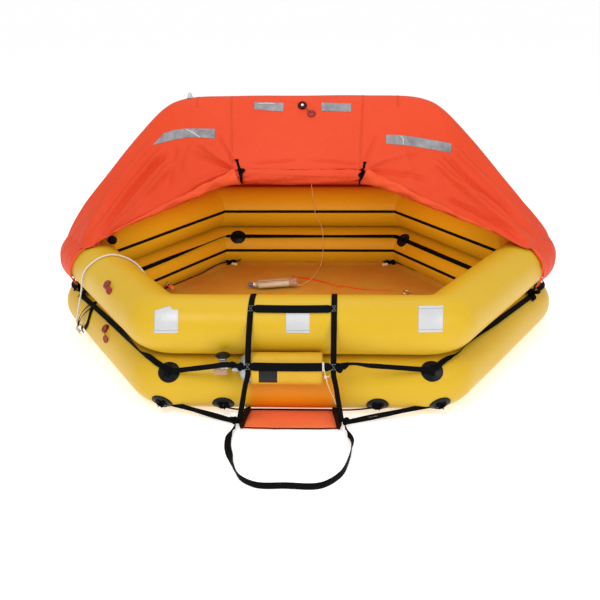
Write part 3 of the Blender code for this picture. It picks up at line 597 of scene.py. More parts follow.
def thicken(item: Item, thickness: float, offset: float = 1.0) -> Item:
    """Give a sheet its thickness.

    Args:
        item: The sheet.
        thickness: How thick it gets, in metres.
        offset: 1 to grow outwards, -1 to grow inwards.

    Returns:
        The sheet.
    """
    solid = item.modifiers.new("thickness", "SOLIDIFY")
    solid.thickness = thickness
    solid.offset = offset
    solid.use_even_offset = False
    return item


class Graph:
    """A short way to add and join the nodes of one node tree."""

    def __init__(self, tree: bpy.types.NodeTree) -> None:
        """Take the tree whose nodes are made."""
        self.tree = tree

    def add(self, kind: str, inputs: dict | None = None, **settings) -> bpy.types.Node:
        """Add a node.

        Args:
            kind: The node's type name.
            inputs: Values or output sockets, by the input's name or number.
            settings: The node's own settings.

        Returns:
            The node.
        """
        node = self.tree.nodes.new(kind)
        for key, value in settings.items():
            setattr(node, key, value)
        for key, value in (inputs or {}).items():
            if isinstance(value, bpy.types.NodeSocket):
                self.tree.links.new(value, node.inputs[key])
            else:
                node.inputs[key].default_value = value
        return node

    def math(self, operation: str, *values: float | bpy.types.NodeSocket) -> bpy.types.NodeSocket:
        """Add a Math node and return its result."""
        return self.add("ShaderNodeMath", dict(enumerate(values)), operation=operation).outputs[0]


def new_group(name: str, inputs: dict[str, tuple[str, object]], outputs: dict[str, str]) -> tuple:
    """Start a shader node group with named sockets.

    Args:
        name: The group's name.
        inputs: Each input's socket type and default value.
        outputs: Each output's socket type.

    Returns:
        The group, its Graph, its input node and its output node.
    """
    tree = bpy.data.node_groups.new(name, "ShaderNodeTree")
    for key, (kind, value) in inputs.items():
        socket = tree.interface.new_socket(name=key, in_out="INPUT", socket_type=kind)
        if value is not None:
            socket.default_value = value
    for key, kind in outputs.items():
        tree.interface.new_socket(name=key, in_out="OUTPUT", socket_type=kind)
    graph = Graph(tree)
    return tree, graph, graph.add("NodeGroupInput"), graph.add("NodeGroupOutput")


def weave_group() -> bpy.types.NodeTree:
    """Make the group for a plain weave: crossed threads of a given size and depth."""
    number = "NodeSocketFloat"
    tree, graph, start, end = new_group(
        "plain_weave",
        {"Place": ("NodeSocketVector", None), "Thread": (number, 0.001), "Depth": (number, 0.0001)},
        {"Height": number},
    )
    scale = graph.math("DIVIDE", 1.0, start.outputs["Thread"])
    scaled = graph.add("ShaderNodeVectorMath", {0: start.outputs["Place"], "Scale": scale}, operation="SCALE")
    parts = graph.add("ShaderNodeSeparateXYZ", {0: scaled.outputs[0]})
    waves = []
    for first, second in (("X", "Y"), ("Y", "Z")):
        one = graph.math("SINE", graph.math("MULTIPLY", parts.outputs[first], math.pi))
        two = graph.math("SINE", graph.math("MULTIPLY", parts.outputs[second], math.pi))
        waves.append(graph.math("ABSOLUTE", graph.math("MULTIPLY", one, two)))
    both = graph.math("MAXIMUM", waves[0], waves[1])
    graph.tree.links.new(graph.math("MULTIPLY", both, start.outputs["Depth"]), end.inputs["Height"])
    return tree


def tone_group() -> bpy.types.NodeTree:
    """Make the group for uneven colour and gloss: soft clouds and fine dirt over a base."""
    number, colour = "NodeSocketFloat", "NodeSocketColor"
    tree, graph, start, end = new_group(
        "uneven_tone",
        {"Place": ("NodeSocketVector", None), "Base": (colour, (0.5, 0.5, 0.5, 1)),
         "Shade": (colour, (0.4, 0.4, 0.4, 1)), "Size": (number, 0.2), "Amount": (number, 0.3),
         "Smooth": (number, 0.3), "Rough": (number, 0.5)},
        {"Colour": colour, "Roughness": number, "Mask": number},
    )
    scale = graph.math("DIVIDE", 1.0, start.outputs["Size"])
    clouds = graph.add("ShaderNodeTexNoise", {"Vector": start.outputs["Place"], "Scale": scale,
                                              "Detail": 5.0, "Roughness": 0.55})
    fine = graph.add("ShaderNodeTexNoise", {"Vector": start.outputs["Place"],
                                            "Scale": graph.math("MULTIPLY", scale, 14.0), "Detail": 3.0})
    ramp = graph.add("ShaderNodeMapRange", {"Value": clouds.outputs[0], "From Min": 0.34, "From Max": 0.7})
    spots = graph.add("ShaderNodeMapRange", {"Value": fine.outputs[0], "From Min": 0.45, "From Max": 0.75})
    mask = graph.math("ADD", graph.math("MULTIPLY", ramp.outputs[0], 0.75),
                      graph.math("MULTIPLY", spots.outputs[0], 0.25))
    amount = graph.math("MULTIPLY", mask, start.outputs["Amount"])
    mix = graph.add("ShaderNodeMix", {0: amount, 6: start.outputs["Base"], 7: start.outputs["Shade"]},
                    data_type="RGBA")
    gloss = graph.add("ShaderNodeMapRange", {"Value": mask, "To Min": start.outputs["Smooth"],
                                             "To Max": start.outputs["Rough"]})
    graph.tree.links.new(mix.outputs[2], end.inputs["Colour"])
    graph.tree.links.new(gloss.outputs[0], end.inputs["Roughness"])
    graph.tree.links.new(mask, end.inputs["Mask"])
    return tree


def crinkle_group() -> bpy.types.NodeTree:
    """Make the group for the fine creases of cloth that has been packed and unrolled."""
    number = "NodeSocketFloat"
    tree, graph, start, end = new_group(
        "packed_creases",
        {"Place": ("NodeSocketVector", None), "Size": (number, 0.05), "Depth": (number, 0.001)},
        {"Height": number},
    )
    scale = graph.math("DIVIDE", 1.0, start.outputs["Size"])
    bent = graph.add("ShaderNodeTexNoise", {"Vector": start.outputs["Place"], "Scale": scale, "Detail": 2.0})
    shift = graph.add("ShaderNodeVectorMath", {0: bent.outputs[1], "Scale": 0.5}, operation="SCALE")
    place = graph.add("ShaderNodeVectorMath", {0: start.outputs["Place"], "Scale": scale}, operation="SCALE")
    moved = graph.add("ShaderNodeVectorMath", {0: place.outputs[0], 1: shift.outputs[0]}, operation="ADD")
    cells = graph.add("ShaderNodeTexVoronoi", {"Vector": moved.outputs[0], "Scale": 1.0},
                      feature="DISTANCE_TO_EDGE")
    edge = graph.add("ShaderNodeMapRange", {"Value": cells.outputs["Distance"], "From Max": 0.12})
    soft = graph.math("MULTIPLY", bent.outputs[0], 0.9)
    both = graph.math("ADD", graph.math("MULTIPLY", edge.outputs[0], 0.35), soft)
    graph.tree.links.new(graph.math("MULTIPLY", both, start.outputs["Depth"]), end.inputs["Height"])
    return tree


GROUPS = {"weave": weave_group(), "tone": tone_group(), "crinkle": crinkle_group()}


@dataclass(frozen=True)
class Finish:
    """One finish: its colours, gloss, weave and creases.

    A weave and creases are pairs of size and depth, in metres.
    """

    name: str
    base: Colour
    shade: Colour
    smooth: float = 0.4
    rough: float = 0.55
    metallic: float = 0.0
    cloud: float = 0.25
    amount: float = 0.5
    weave: Pair = (0.0, 0.0)
    crease: Pair = (0.0, 0.0)
    coords: Coords = Coords.OBJECT
    coat: float = 0.0
    clear: float = 0.0
    glow: float = 0.0
    stretch: Point = (1.0, 1.0, 1.0)
    # The colour of a painted shade, mixed in by a point attribute of the mesh, or None.
    painted_shade: Colour | None = None
    shine: float = 0.2

    def make(self) -> bpy.types.Material:
        """Build the node material for this finish.

        Returns:
            The material.
        """
        material = bpy.data.materials.new(self.name)
        material.use_nodes = True
        graph = Graph(material.node_tree)
        shader = material.node_tree.nodes["Principled BSDF"]
        texture = graph.add("ShaderNodeTexCoord")
        mapped = graph.add("ShaderNodeMapping", {"Vector": texture.outputs[self.coords.value],
                                                 "Scale": self.stretch})
        place = mapped.outputs[0]
        tone = graph.add("ShaderNodeGroup", node_tree=GROUPS["tone"])
        graph.tree.links.new(place, tone.inputs["Place"])
        for key, value in (("Base", (*self.base, 1)), ("Shade", (*self.shade, 1)), ("Size", self.cloud),
                           ("Amount", self.amount), ("Smooth", self.smooth), ("Rough", self.rough)):
            tone.inputs[key].default_value = value
        colour = tone.outputs["Colour"]
        # Mix in the painted shade by the mesh's point attribute.
        if self.painted_shade:
            share = graph.add("ShaderNodeAttribute", attribute_name="painted_shade")
            mix = graph.add("ShaderNodeMix", {0: share.outputs["Fac"], 6: colour, 7: (*self.painted_shade, 1)},
                            data_type="RGBA")
            colour = mix.outputs[2]
        graph.tree.links.new(colour, shader.inputs["Base Color"])
        graph.tree.links.new(tone.outputs["Roughness"], shader.inputs["Roughness"])
        shader.inputs["Metallic"].default_value = self.metallic
        shader.inputs["Specular IOR Level"].default_value = self.shine
        shader.inputs["Coat Weight"].default_value = self.coat
        shader.inputs["Coat Roughness"].default_value = 0.25
        shader.inputs["Transmission Weight"].default_value = self.clear
        if self.glow:
            shader.inputs["Emission Color"].default_value = (*self.base, 1)
            shader.inputs["Emission Strength"].default_value = self.glow
        heights = []
        for key, group, (size, depth) in (("Thread", "weave", self.weave), ("Size", "crinkle", self.crease)):
            if depth > 0:
                node = graph.add("ShaderNodeGroup", node_tree=GROUPS[group])
                graph.tree.links.new(place, node.inputs["Place"])
                node.inputs[key].default_value = size
                node.inputs["Depth"].default_value = depth
                heights.append(node.outputs["Height"])
        if heights:
            total = heights[0] if len(heights) == 1 else graph.math("ADD", *heights)
            bump = graph.add("ShaderNodeBump", {"Strength": 1.0, "Distance": 1.0, "Height": total})
            graph.tree.links.new(bump.outputs[0], shader.inputs["Normal"])
        return material


class Finishes(Enum):
    """The raft's finishes."""

    TUBE = Finish("coated_yellow_cloth", (0.69, 0.43, 0.019), (0.61, 0.37, 0.015), 0.34, 0.48, cloud=0.5,
                  amount=0.55, weave=(0.0009, 0.00002), crease=(0.12, 0.0009), coat=0.05)
    # The lower tube's cloth, with an orange painted shade mixed in low on its front.
    LOWER = replace(TUBE, name="coated_yellow_cloth_below", painted_shade=(0.8, 0.235, 0.004))
    # The arch's cloth, whose amber colour is painted shade from the canopy over it.
    ARCH_PAINTED_SHADE = Finish("arch_cloth_painted_shade", (0.72, 0.3, 0.014), (0.64, 0.25, 0.011), 0.36, 0.5, cloud=0.4,
                  amount=0.5, weave=(0.0009, 0.00002), crease=(0.1, 0.001), coat=0.05)
    CANOPY = Finish("proofed_orange_cloth", (0.75, 0.066, 0.018), (0.66, 0.05, 0.012), 0.5, 0.66, cloud=0.35,
                    amount=0.55, weave=(0.0007, 0.00003), crease=(0.055, 0.0013))
    # The hems: the canopy cloth made lighter, a painted highlight on the rolled edges.
    HEM_PAINTED_HIGHLIGHT = replace(CANOPY, name="hem_cloth_painted_highlight", base=(0.84, 0.094, 0.026), shade=(0.74, 0.07, 0.018))
    STEP = Finish("step_cloth_finish", (0.98, 0.215, 0.078), (0.9, 0.165, 0.058), 0.5, 0.62, cloud=0.08, amount=0.55,
                  weave=(0.0008, 0.00003), crease=(0.03, 0.0011))
    SEAM = Finish("orange_seam_tape", (0.67, 0.055, 0.014), (0.6, 0.044, 0.011), 0.5, 0.6, cloud=0.05,
                  amount=0.5, weave=(0.0011, 0.00006))
    FLOOR = Finish("floor_cloth", (0.5, 0.34, 0.06), (0.5, 0.2, 0.024), 0.45, 0.6, cloud=0.3, amount=0.8,
                   weave=(0.0011, 0.00003), crease=(0.09, 0.0014))
    FOLD = Finish("red_floor_fold", (0.72, 0.055, 0.015), (0.6, 0.04, 0.01), 0.5, 0.62, cloud=0.06, amount=0.6,
                  weave=(0.001, 0.00004))
    WEBBING = Finish("black_webbing", (0.004, 0.004, 0.005), (0.007, 0.007, 0.008), 0.6, 0.8, cloud=0.01,
                     amount=0.7, weave=(0.0017, 0.00035), coords=Coords.SURFACE, shine=0.03)
    BROWN = Finish("dark_brown_webbing", (0.018, 0.006, 0.004), (0.03, 0.01, 0.007), 0.5, 0.7, cloud=0.01,
                   amount=0.6, weave=(0.0016, 0.0003), shine=0.05)
    RUBBER = Finish("black_rubber", (0.005, 0.005, 0.006), (0.01, 0.01, 0.011), 0.22, 0.36, cloud=0.03,
                    amount=0.6, crease=(0.004, 0.00012), shine=0.16)
    TAPE = Finish("black_tape", (0.004, 0.004, 0.004), (0.008, 0.0075, 0.007), 0.5, 0.65, cloud=0.03,
                  amount=0.6, weave=(0.0012, 0.00005), coords=Coords.SURFACE, shine=0.05)
    MIRROR = Finish("silver_tape", (0.35, 0.34, 0.355), (0.15, 0.146, 0.16), 0.32, 0.55, metallic=0.2, cloud=0.045,
                    amount=0.9, weave=(0.0022, 0.00012), crease=(0.02, 0.0016))
    SQUARE = Finish("white_tape", (0.62, 0.62, 0.63), (0.5, 0.505, 0.515), 0.3, 0.45, metallic=0.1, cloud=0.05,
                    amount=0.5, weave=(0.0022, 0.00008), crease=(0.03, 0.0007))
    STEEL = Finish("brushed_steel", (0.6, 0.62, 0.63), (0.45, 0.47, 0.48), 0.24, 0.42, metallic=1.0, cloud=0.02,
                   amount=0.5, crease=(0.003, 0.00008), shine=0.5)
    BOTTLE = Finish("grey_bottle_paint", (0.42, 0.46, 0.47), (0.3, 0.34, 0.35), 0.3, 0.45, metallic=0.55,
                    cloud=0.03, amount=0.5, crease=(0.006, 0.0001), coat=0.3, shine=0.5)
    RED = Finish("red_valve_plastic", (0.25, 0.006, 0.004), (0.16, 0.004, 0.003), 0.16, 0.3, cloud=0.01,
                 amount=0.5, crease=(0.004, 0.00005), coat=0.2, shine=0.35)
    CAP = Finish("clear_red_cap", (0.29, 0.016, 0.009), (0.2, 0.01, 0.006), 0.18, 0.3, cloud=0.01, amount=0.5,
                 crease=(0.005, 0.0001), coat=0.1, shine=0.25)
    ORANGE = Finish("orange_plastic", (0.85, 0.2, 0.05), (0.75, 0.14, 0.03), 0.25, 0.4, cloud=0.02, amount=0.5,
                    crease=(0.004, 0.00008), coat=0.3, shine=0.5)
    WHITE = Finish("white_plastic", (0.8, 0.8, 0.77), (0.66, 0.66, 0.62), 0.25, 0.4, cloud=0.02, amount=0.4,
                   crease=(0.004, 0.00008), coat=0.2, shine=0.5)
    BLUE = Finish("blue_plastic", (0.03, 0.09, 0.42), (0.02, 0.06, 0.3), 0.25, 0.4, cloud=0.01, amount=0.4,
                  crease=(0.003, 0.00006), coat=0.2, shine=0.5)
    TAN = Finish("tan_putty", (0.55, 0.33, 0.19), (0.42, 0.23, 0.13), 0.4, 0.55, cloud=0.01, amount=0.6,
                 crease=(0.004, 0.0002))
    CLEAR = Finish("clear_film", (0.93, 0.88, 0.84), (0.85, 0.78, 0.74), 0.06, 0.18, cloud=0.02, amount=0.4,
                   crease=(0.006, 0.0007), clear=0.85, coat=0.4, shine=0.5)
    LAMP = Finish("frosted_lamp", (0.7, 0.71, 0.7), (0.5, 0.51, 0.5), 0.2, 0.35, cloud=0.02, amount=0.6,
                  crease=(0.004, 0.00008), clear=0.3, coat=0.4, shine=0.5)
    ROPE = Finish("white_rope", (0.8, 0.77, 0.7), (0.6, 0.56, 0.49), 0.6, 0.8, cloud=0.006, amount=0.6,
                  weave=(0.0021, 0.0006), coords=Coords.SURFACE, stretch=(1.0, 0.7, 1.0))
    PINK = Finish("thin_cord", (0.86, 0.7, 0.52), (0.76, 0.58, 0.42), 0.55, 0.7, cloud=0.006, amount=0.6,
                  weave=(0.001, 0.0002), coords=Coords.SURFACE)
    LABEL = Finish("plain_dark_label", (0.012, 0.01, 0.011), (0.022, 0.019, 0.02), 0.3, 0.45, cloud=0.02,
                   amount=0.5, crease=(0.01, 0.0002), coat=0.2, shine=0.1)
    SLEEVE = Finish("yellow_sleeve", (0.7, 0.42, 0.022), (0.62, 0.31, 0.015), 0.34, 0.5, cloud=0.12, amount=0.6,
                    weave=(0.0009, 0.00003), crease=(0.03, 0.0012), coat=0.15)
    VALVE = Finish("dark_valve_plastic", (0.045, 0.003, 0.003), (0.022, 0.002, 0.002), 0.22, 0.35, cloud=0.01,
                   amount=0.5, crease=(0.004, 0.00005), shine=0.15)
    GREY = Finish("grey_tape_line", (0.36, 0.38, 0.42), (0.28, 0.3, 0.33), 0.4, 0.55, cloud=0.01, amount=0.5,
                  weave=(0.001, 0.00004))

    def material(self) -> bpy.types.Material:
        """Return this finish's one material, made when it is first asked for."""
        return bpy.data.materials.get(self.value.name) or self.value.make()


def finish(item: Item, kind: Finishes, slot: str, *nodes: str, body: Body = Body.RAFT) -> Item:
    """Dress a piece, say what it rides on and log it.

    Args:
        item: The piece.
        kind: Its finish, kept out of the way if it already has materials.
        slot: The name of its material slot; not used.
        nodes: The nodes that it stands for.
        body: The body that it rides on.

    Returns:
        The piece.
    """
    if not item.data.materials:
        item.data.materials.append(kind.material())
    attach(item, body.value)
    if nodes:
        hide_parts(*nodes)
    LOG.info("made %s", item.name)
    return item


def webbing(item: Item, *nodes: str, body: Body = Body.RAFT) -> Item:
    """Dress a piece of black webbing, which stands for these nodes."""
    return finish(item, Finishes.WEBBING, "webbing", *nodes, body=body)


def coat_item(item: Item, kind: Finishes) -> Item:
    """Give a loose mesh its material before it is joined to others."""
    item.data.materials.clear()
    item.data.materials.append(kind.material())
    return item


def repeat_tree() -> bpy.types.NodeTree:
    """Make the Geometry Nodes tree that repeats a small piece along lines."""
    known = bpy.data.node_groups.get("repeat_along_lines")
    if known:
        return known
    tree = bpy.data.node_groups.new("repeat_along_lines", "GeometryNodeTree")
    sockets = {"Lines": "NodeSocketGeometry", "Piece": "NodeSocketObject", "Pitch": "NodeSocketFloat",
               "Vary": "NodeSocketFloat", "Seed": "NodeSocketInt", "Material": "NodeSocketMaterial"}
    for key, kind in sockets.items():
        tree.interface.new_socket(name=key, in_out="INPUT", socket_type=kind)
    tree.interface.new_socket(name="Mesh", in_out="OUTPUT", socket_type="NodeSocketGeometry")
    graph = Graph(tree)
    start, end = graph.add("NodeGroupInput"), graph.add("NodeGroupOutput")
    curve = graph.add("GeometryNodeMeshToCurve", {"Mesh": start.outputs["Lines"]})
    even = graph.add("GeometryNodeResampleCurve", {"Curve": curve.outputs[0], "Length": start.outputs["Pitch"]},
                     mode="LENGTH")
    tangent = graph.add("GeometryNodeInputTangent")
    turn = graph.add("FunctionNodeAlignRotationToVector", {"Vector": tangent.outputs[0]}, axis="Z")
    piece = graph.add("GeometryNodeObjectInfo", {"Object": start.outputs["Piece"]})
    low = graph.math("SUBTRACT", 1.0, start.outputs["Vary"])
    high = graph.math("ADD", 1.0, start.outputs["Vary"])
    scale = graph.add("FunctionNodeRandomValue", {2: low, 3: high, "Seed": start.outputs["Seed"]},
                      data_type="FLOAT")
    placed = graph.add("GeometryNodeInstanceOnPoints", {
        "Points": even.outputs[0], "Instance": piece.outputs["Geometry"], "Rotation": turn.outputs[0],
        "Scale": scale.outputs[1]})
    real = graph.add("GeometryNodeRealizeInstances", {0: placed.outputs[0]})
    dressed = graph.add("GeometryNodeSetMaterial", {"Geometry": real.outputs[0],
                                                    "Material": start.outputs["Material"]})
    tree.links.new(dressed.outputs[0], end.inputs[0])
    return tree


def repeat_along(name: str, lines: Sequence[np.ndarray], piece: Item, pitch: float,
                 kind: Finishes, vary: float = 0.08, seed: int = 4) -> Item:
    """Repeat a small piece along lines with the Geometry Nodes tree, and keep the mesh.

    Args:
        name: The object's name.
        lines: Rows of points.
        piece: The piece, along +Z at the origin; it is removed afterwards.
        pitch: The spacing along the lines.
        kind: The finish of the pieces.
        vary: How much their scale varies.
        seed: The seed of that variation.

    Returns:
        The object, a plain mesh.
    """
    verts, edges = [], []
    for line in lines:
        first = len(verts)
        verts += [tuple(point) for point in line]
        edges += [(first + index, first + index + 1) for index in range(len(line) - 1)]
    mesh = bpy.data.meshes.new(name)
    mesh.from_pydata(verts, edges, [])
    item = stand(name, mesh)
    tree = repeat_tree()
    values = {"Piece": piece, "Pitch": pitch, "Vary": vary, "Seed": seed, "Material": kind.material()}
    modifier = item.modifiers.new("repeat", "NODES")
    modifier.node_group = tree
    for socket in tree.interface.items_tree:
        if socket.in_out == "INPUT" and socket.name in values:
            modifier[socket.identifier] = values[socket.name]
    mesh = evaluated(item)
    item.modifiers.clear()
    item.data = mesh
    bpy.data.objects.remove(piece)
    return item


def turned(place: Sequence[float], axis: Sequence[float], *parts: tuple[Finishes, Sequence, int]) -> list[Item]:
    """Turn coated parts about one axis.

    Args:
        place: Where height 0 is.
        axis: The way of rising height.
        parts: Each part's finish, profile and steps.

    Returns:
        The parts, in order.
    """
    return [coat_item(lathe("part", profile, place, axis, steps), kind) for kind, profile, steps in parts]


def thread_piece(length: float, radius: float) -> Item:
    """Make one stitch: a short thread along +Z."""
    line = np.array([(0, 0, -length / 2), (0, 0, -length / 4), (0, 0, length / 4), (0, 0, length / 2)])
    sections = round_section(radius, 6)[None] * np.array([0.45, 1.0, 1.0, 0.45])[:, None, None]
    return sweep("stitch", line, sections, guide=vec(1.0, 0.0, 0.0))


@dataclass(frozen=True)
class Fold:
    """A crease in the canopy that runs along a line of the photograph's frame."""

    line: tuple[Pair, ...]
    width: float
    height: float

    def lift(self, pixels: np.ndarray) -> np.ndarray:
        """Find how far the fold lifts the cloth.

        Args:
            pixels: Places in the frame, with x and y in the last axis.

        Returns:
            The lift in metres, fading towards both ends of the line.
        """
        points = np.asarray(self.line, float)
        lengths = np.linalg.norm(np.diff(points, axis=0), axis=1)
        starts = distances(points)
        best = np.full(pixels.shape[:-1], 1e9)
        share = np.zeros(pixels.shape[:-1])
        for index, (start, end) in enumerate(zip(points, points[1:])):
            along = (end - start) / lengths[index]
            past = np.clip((pixels - start) @ along, 0, lengths[index])
            away = np.linalg.norm(pixels - start - past[..., None] * along, axis=-1)
            nearer = away < best
            best = np.where(nearer, away, best)
            share = np.where(nearer, (starts[index] + past) / starts[-1], share)
        taper = ease(share, 0.0, 0.12) * ease(1 - share, 0.0, 0.35)
        return self.height * taper * np.exp(-((best / self.width) ** 2))


@dataclass
class Tubes:
    """The two main tubes: smooth skins with puckered corners, seams, black tapes and a painted orange shade low on the
    lower one's front.
    """

    sides: int = 72
    painted_shade_x: Pair = (-0.205, 0.135)
    painted_shade_top: float = 0.195
    tape_width: float = 0.0165

    def skin(self, name: str, level: float) -> Item:
        """Sweep one tube's skin, puckered on the inner side of each corner.

        Args:
            name: The CAD node that it stands for.
            level: The height of the tube's middle.

        Returns:
            The piece.
        """
        positions = HULL.walk(0.0, 6.0, 0.03, 16)[:-1]
        angles = np.arange(self.sides) * 360 / self.sides
        points = np.array([[HULL.spot(p, a, HULL.tube, level) for a in angles] for p in positions])
        ways = np.array([[HULL.normal(p, a) for a in angles] for p in positions])
        past = np.abs((positions + 0.5) % 1.0 - 0.5)[:, None]
        inner = ease(-np.cos(np.radians(angles)), 0.15, 0.95)[None, :]
        pucker = np.sin(np.radians(angles) * 19)[None, :] * 0.0013 * np.exp(-((past - 0.085) / 0.03) ** 2)
        seam = 0.0009 * np.exp(-((past - 0.075) / 0.006) ** 4) * (1 - inner)
        soft = ripple(points, 0.45, 5) * 0.0009
        points = points + ways * (pucker * inner + seam + soft)[..., None] - ways * 0.0012
        item = grid(name + "_skin", points, None, None, True, True, sharp=80)
        if level < HULL.upper:
            self.painted_shade(item, points.reshape(-1, 3))
            return finish(item, Finishes.LOWER, "tube", name)
        return finish(item, Finishes.TUBE, "tube", name)

    def painted_shade(self, item: Item, points: np.ndarray) -> None:
        """Mark the painted orange shade low on the front tube, between the ladder's straps, strongest towards the
        bottom.
        """
        x, y, z = points.T
        # The painted shade covers this stretch across, fading out towards its top.
        left, right = self.painted_shade_x
        share = ease(x, left, left + 0.012) * (1 - ease(x, right, right + 0.04)) * (y < -HULL.front_y)
        share = share * (1 - ease(z, self.painted_shade_top - 0.03, self.painted_shade_top)) * (1 - 0.2 * z / self.painted_shade_top)
        layer = item.data.attributes.new("painted_shade", "FLOAT", "POINT")
        layer.data.foreach_set("value", share)

    def tape(self, name: str, level: float) -> Item:
        """Lay black tape round the inner side of a tube.

        Args:
            name: The piece's name.
            level: The height of the tube's middle.

        Returns:
            The piece.
        """
        positions = HULL.walk(0.0, 6.0, 0.05, 12)[:-1]
        spread = math.degrees(self.tape_width / HULL.tube / 2)
        rows = []
        for angle, lift in ((-spread, -0.0005), (-spread, 0.0009), (0.0, 0.0012), (spread, 0.0009), (spread, -0.0005)):
            reach = HULL.tube + lift
            wobble = ripple(np.array([[p, 0, 0] for p in positions]), 0.7, 3) * 0.35
            rows.append([HULL.spot(p, 180.0 + angle + w, reach, level) for p, w in zip(positions, wobble)])
        points = np.array(rows).transpose(1, 0, 2)
        item = grid(name, points, None, None, True, True, sharp=30)
        return finish(item, Finishes.TAPE, "webbing")

    def build(self) -> None:
        """Make both skins and their tapes."""
        self.skin("lower_tube", HULL.lower)
        self.skin("upper_tube", HULL.upper)
        self.tape("upper_tape", HULL.upper)
        self.tape("lower_tape", HULL.lower)


@dataclass
class Arch:
    """The inflated arch that holds the canopy up, with its two black end plugs."""

    radius: float = 0.055
    around: int = 36
    knee: float = 0.6
    knee_width: float = 0.07
    puckers: int = 9
    pucker: float = 0.012
    half: tuple = ((0.0, 1.098), (0.3, 1.098), (0.47, 1.09), (0.567, 1.064), (0.665, 0.994), (0.758, 0.895),
                   (0.863, 0.765), (0.95, 0.63), (1.015, 0.5), (1.04, 0.42))
    plugs: tuple = ((-1, -0.9855, 0.456), (1, 0.988, 0.533))
    plug_y: float = -0.049
    plug_profile: Pairs = ((0.0, 0.016), (0.012, 0.015), (0.017, 0.01), (0.017, 0.004), (0.023, 0.002),
                           (0.023, -0.004), (0.0, -0.004))

    def route(self) -> np.ndarray:
        """Return the middle line from the left foot to the right foot."""
        left = [(-x, 0.0, z) for x, z in reversed(self.half)]
        right = [(x, 0.0, z) for x, z in self.half[1:]]
        return lean(smooth(left + right, step=0.02))

    def build(self) -> None:
        """Sweep the arch, puckered at its knees, and add the plugs by its feet."""
        path = self.route()
        ring = round_section(self.radius - 0.001, self.around)
        bends = np.exp(-((np.abs(path[:, 0]) - self.knee) / self.knee_width) ** 2)[:, None]
        waves = np.sin(round_angles(self.around) * self.puckers)[None, :]
        sections = ring[None] * (1 + self.pucker * bends * waves)[..., None]
        item = sweep("arch_skin", path, sections, guide=vec(0.0, 1.0, 0.0))
        # The arch's amber colour is painted shade from the canopy.
        finish(item, Finishes.ARCH_PAINTED_SHADE, "tube", "arch_tube")
        plugs = []
        for side, x, z in self.plugs:
            place = vec(x, self.plug_y, z)
            plugs.append(lathe(f"plug_{side}", self.plug_profile, place, (-0.3 * side, -0.95, 0.1), 28))
            tail = smooth([place + (0.0, -0.012, 0.0), place + (-0.006, -0.02, -0.012),
                           place + (-0.014, -0.018, -0.026)], step=0.003)
            plugs.append(sweep(f"plug_tail_{side}", tail, strap_section(0.01, 0.002), guide=(0, -1, 0.3)))
        finish(join("arch_plugs", plugs), Finishes.RUBBER, "rubber")


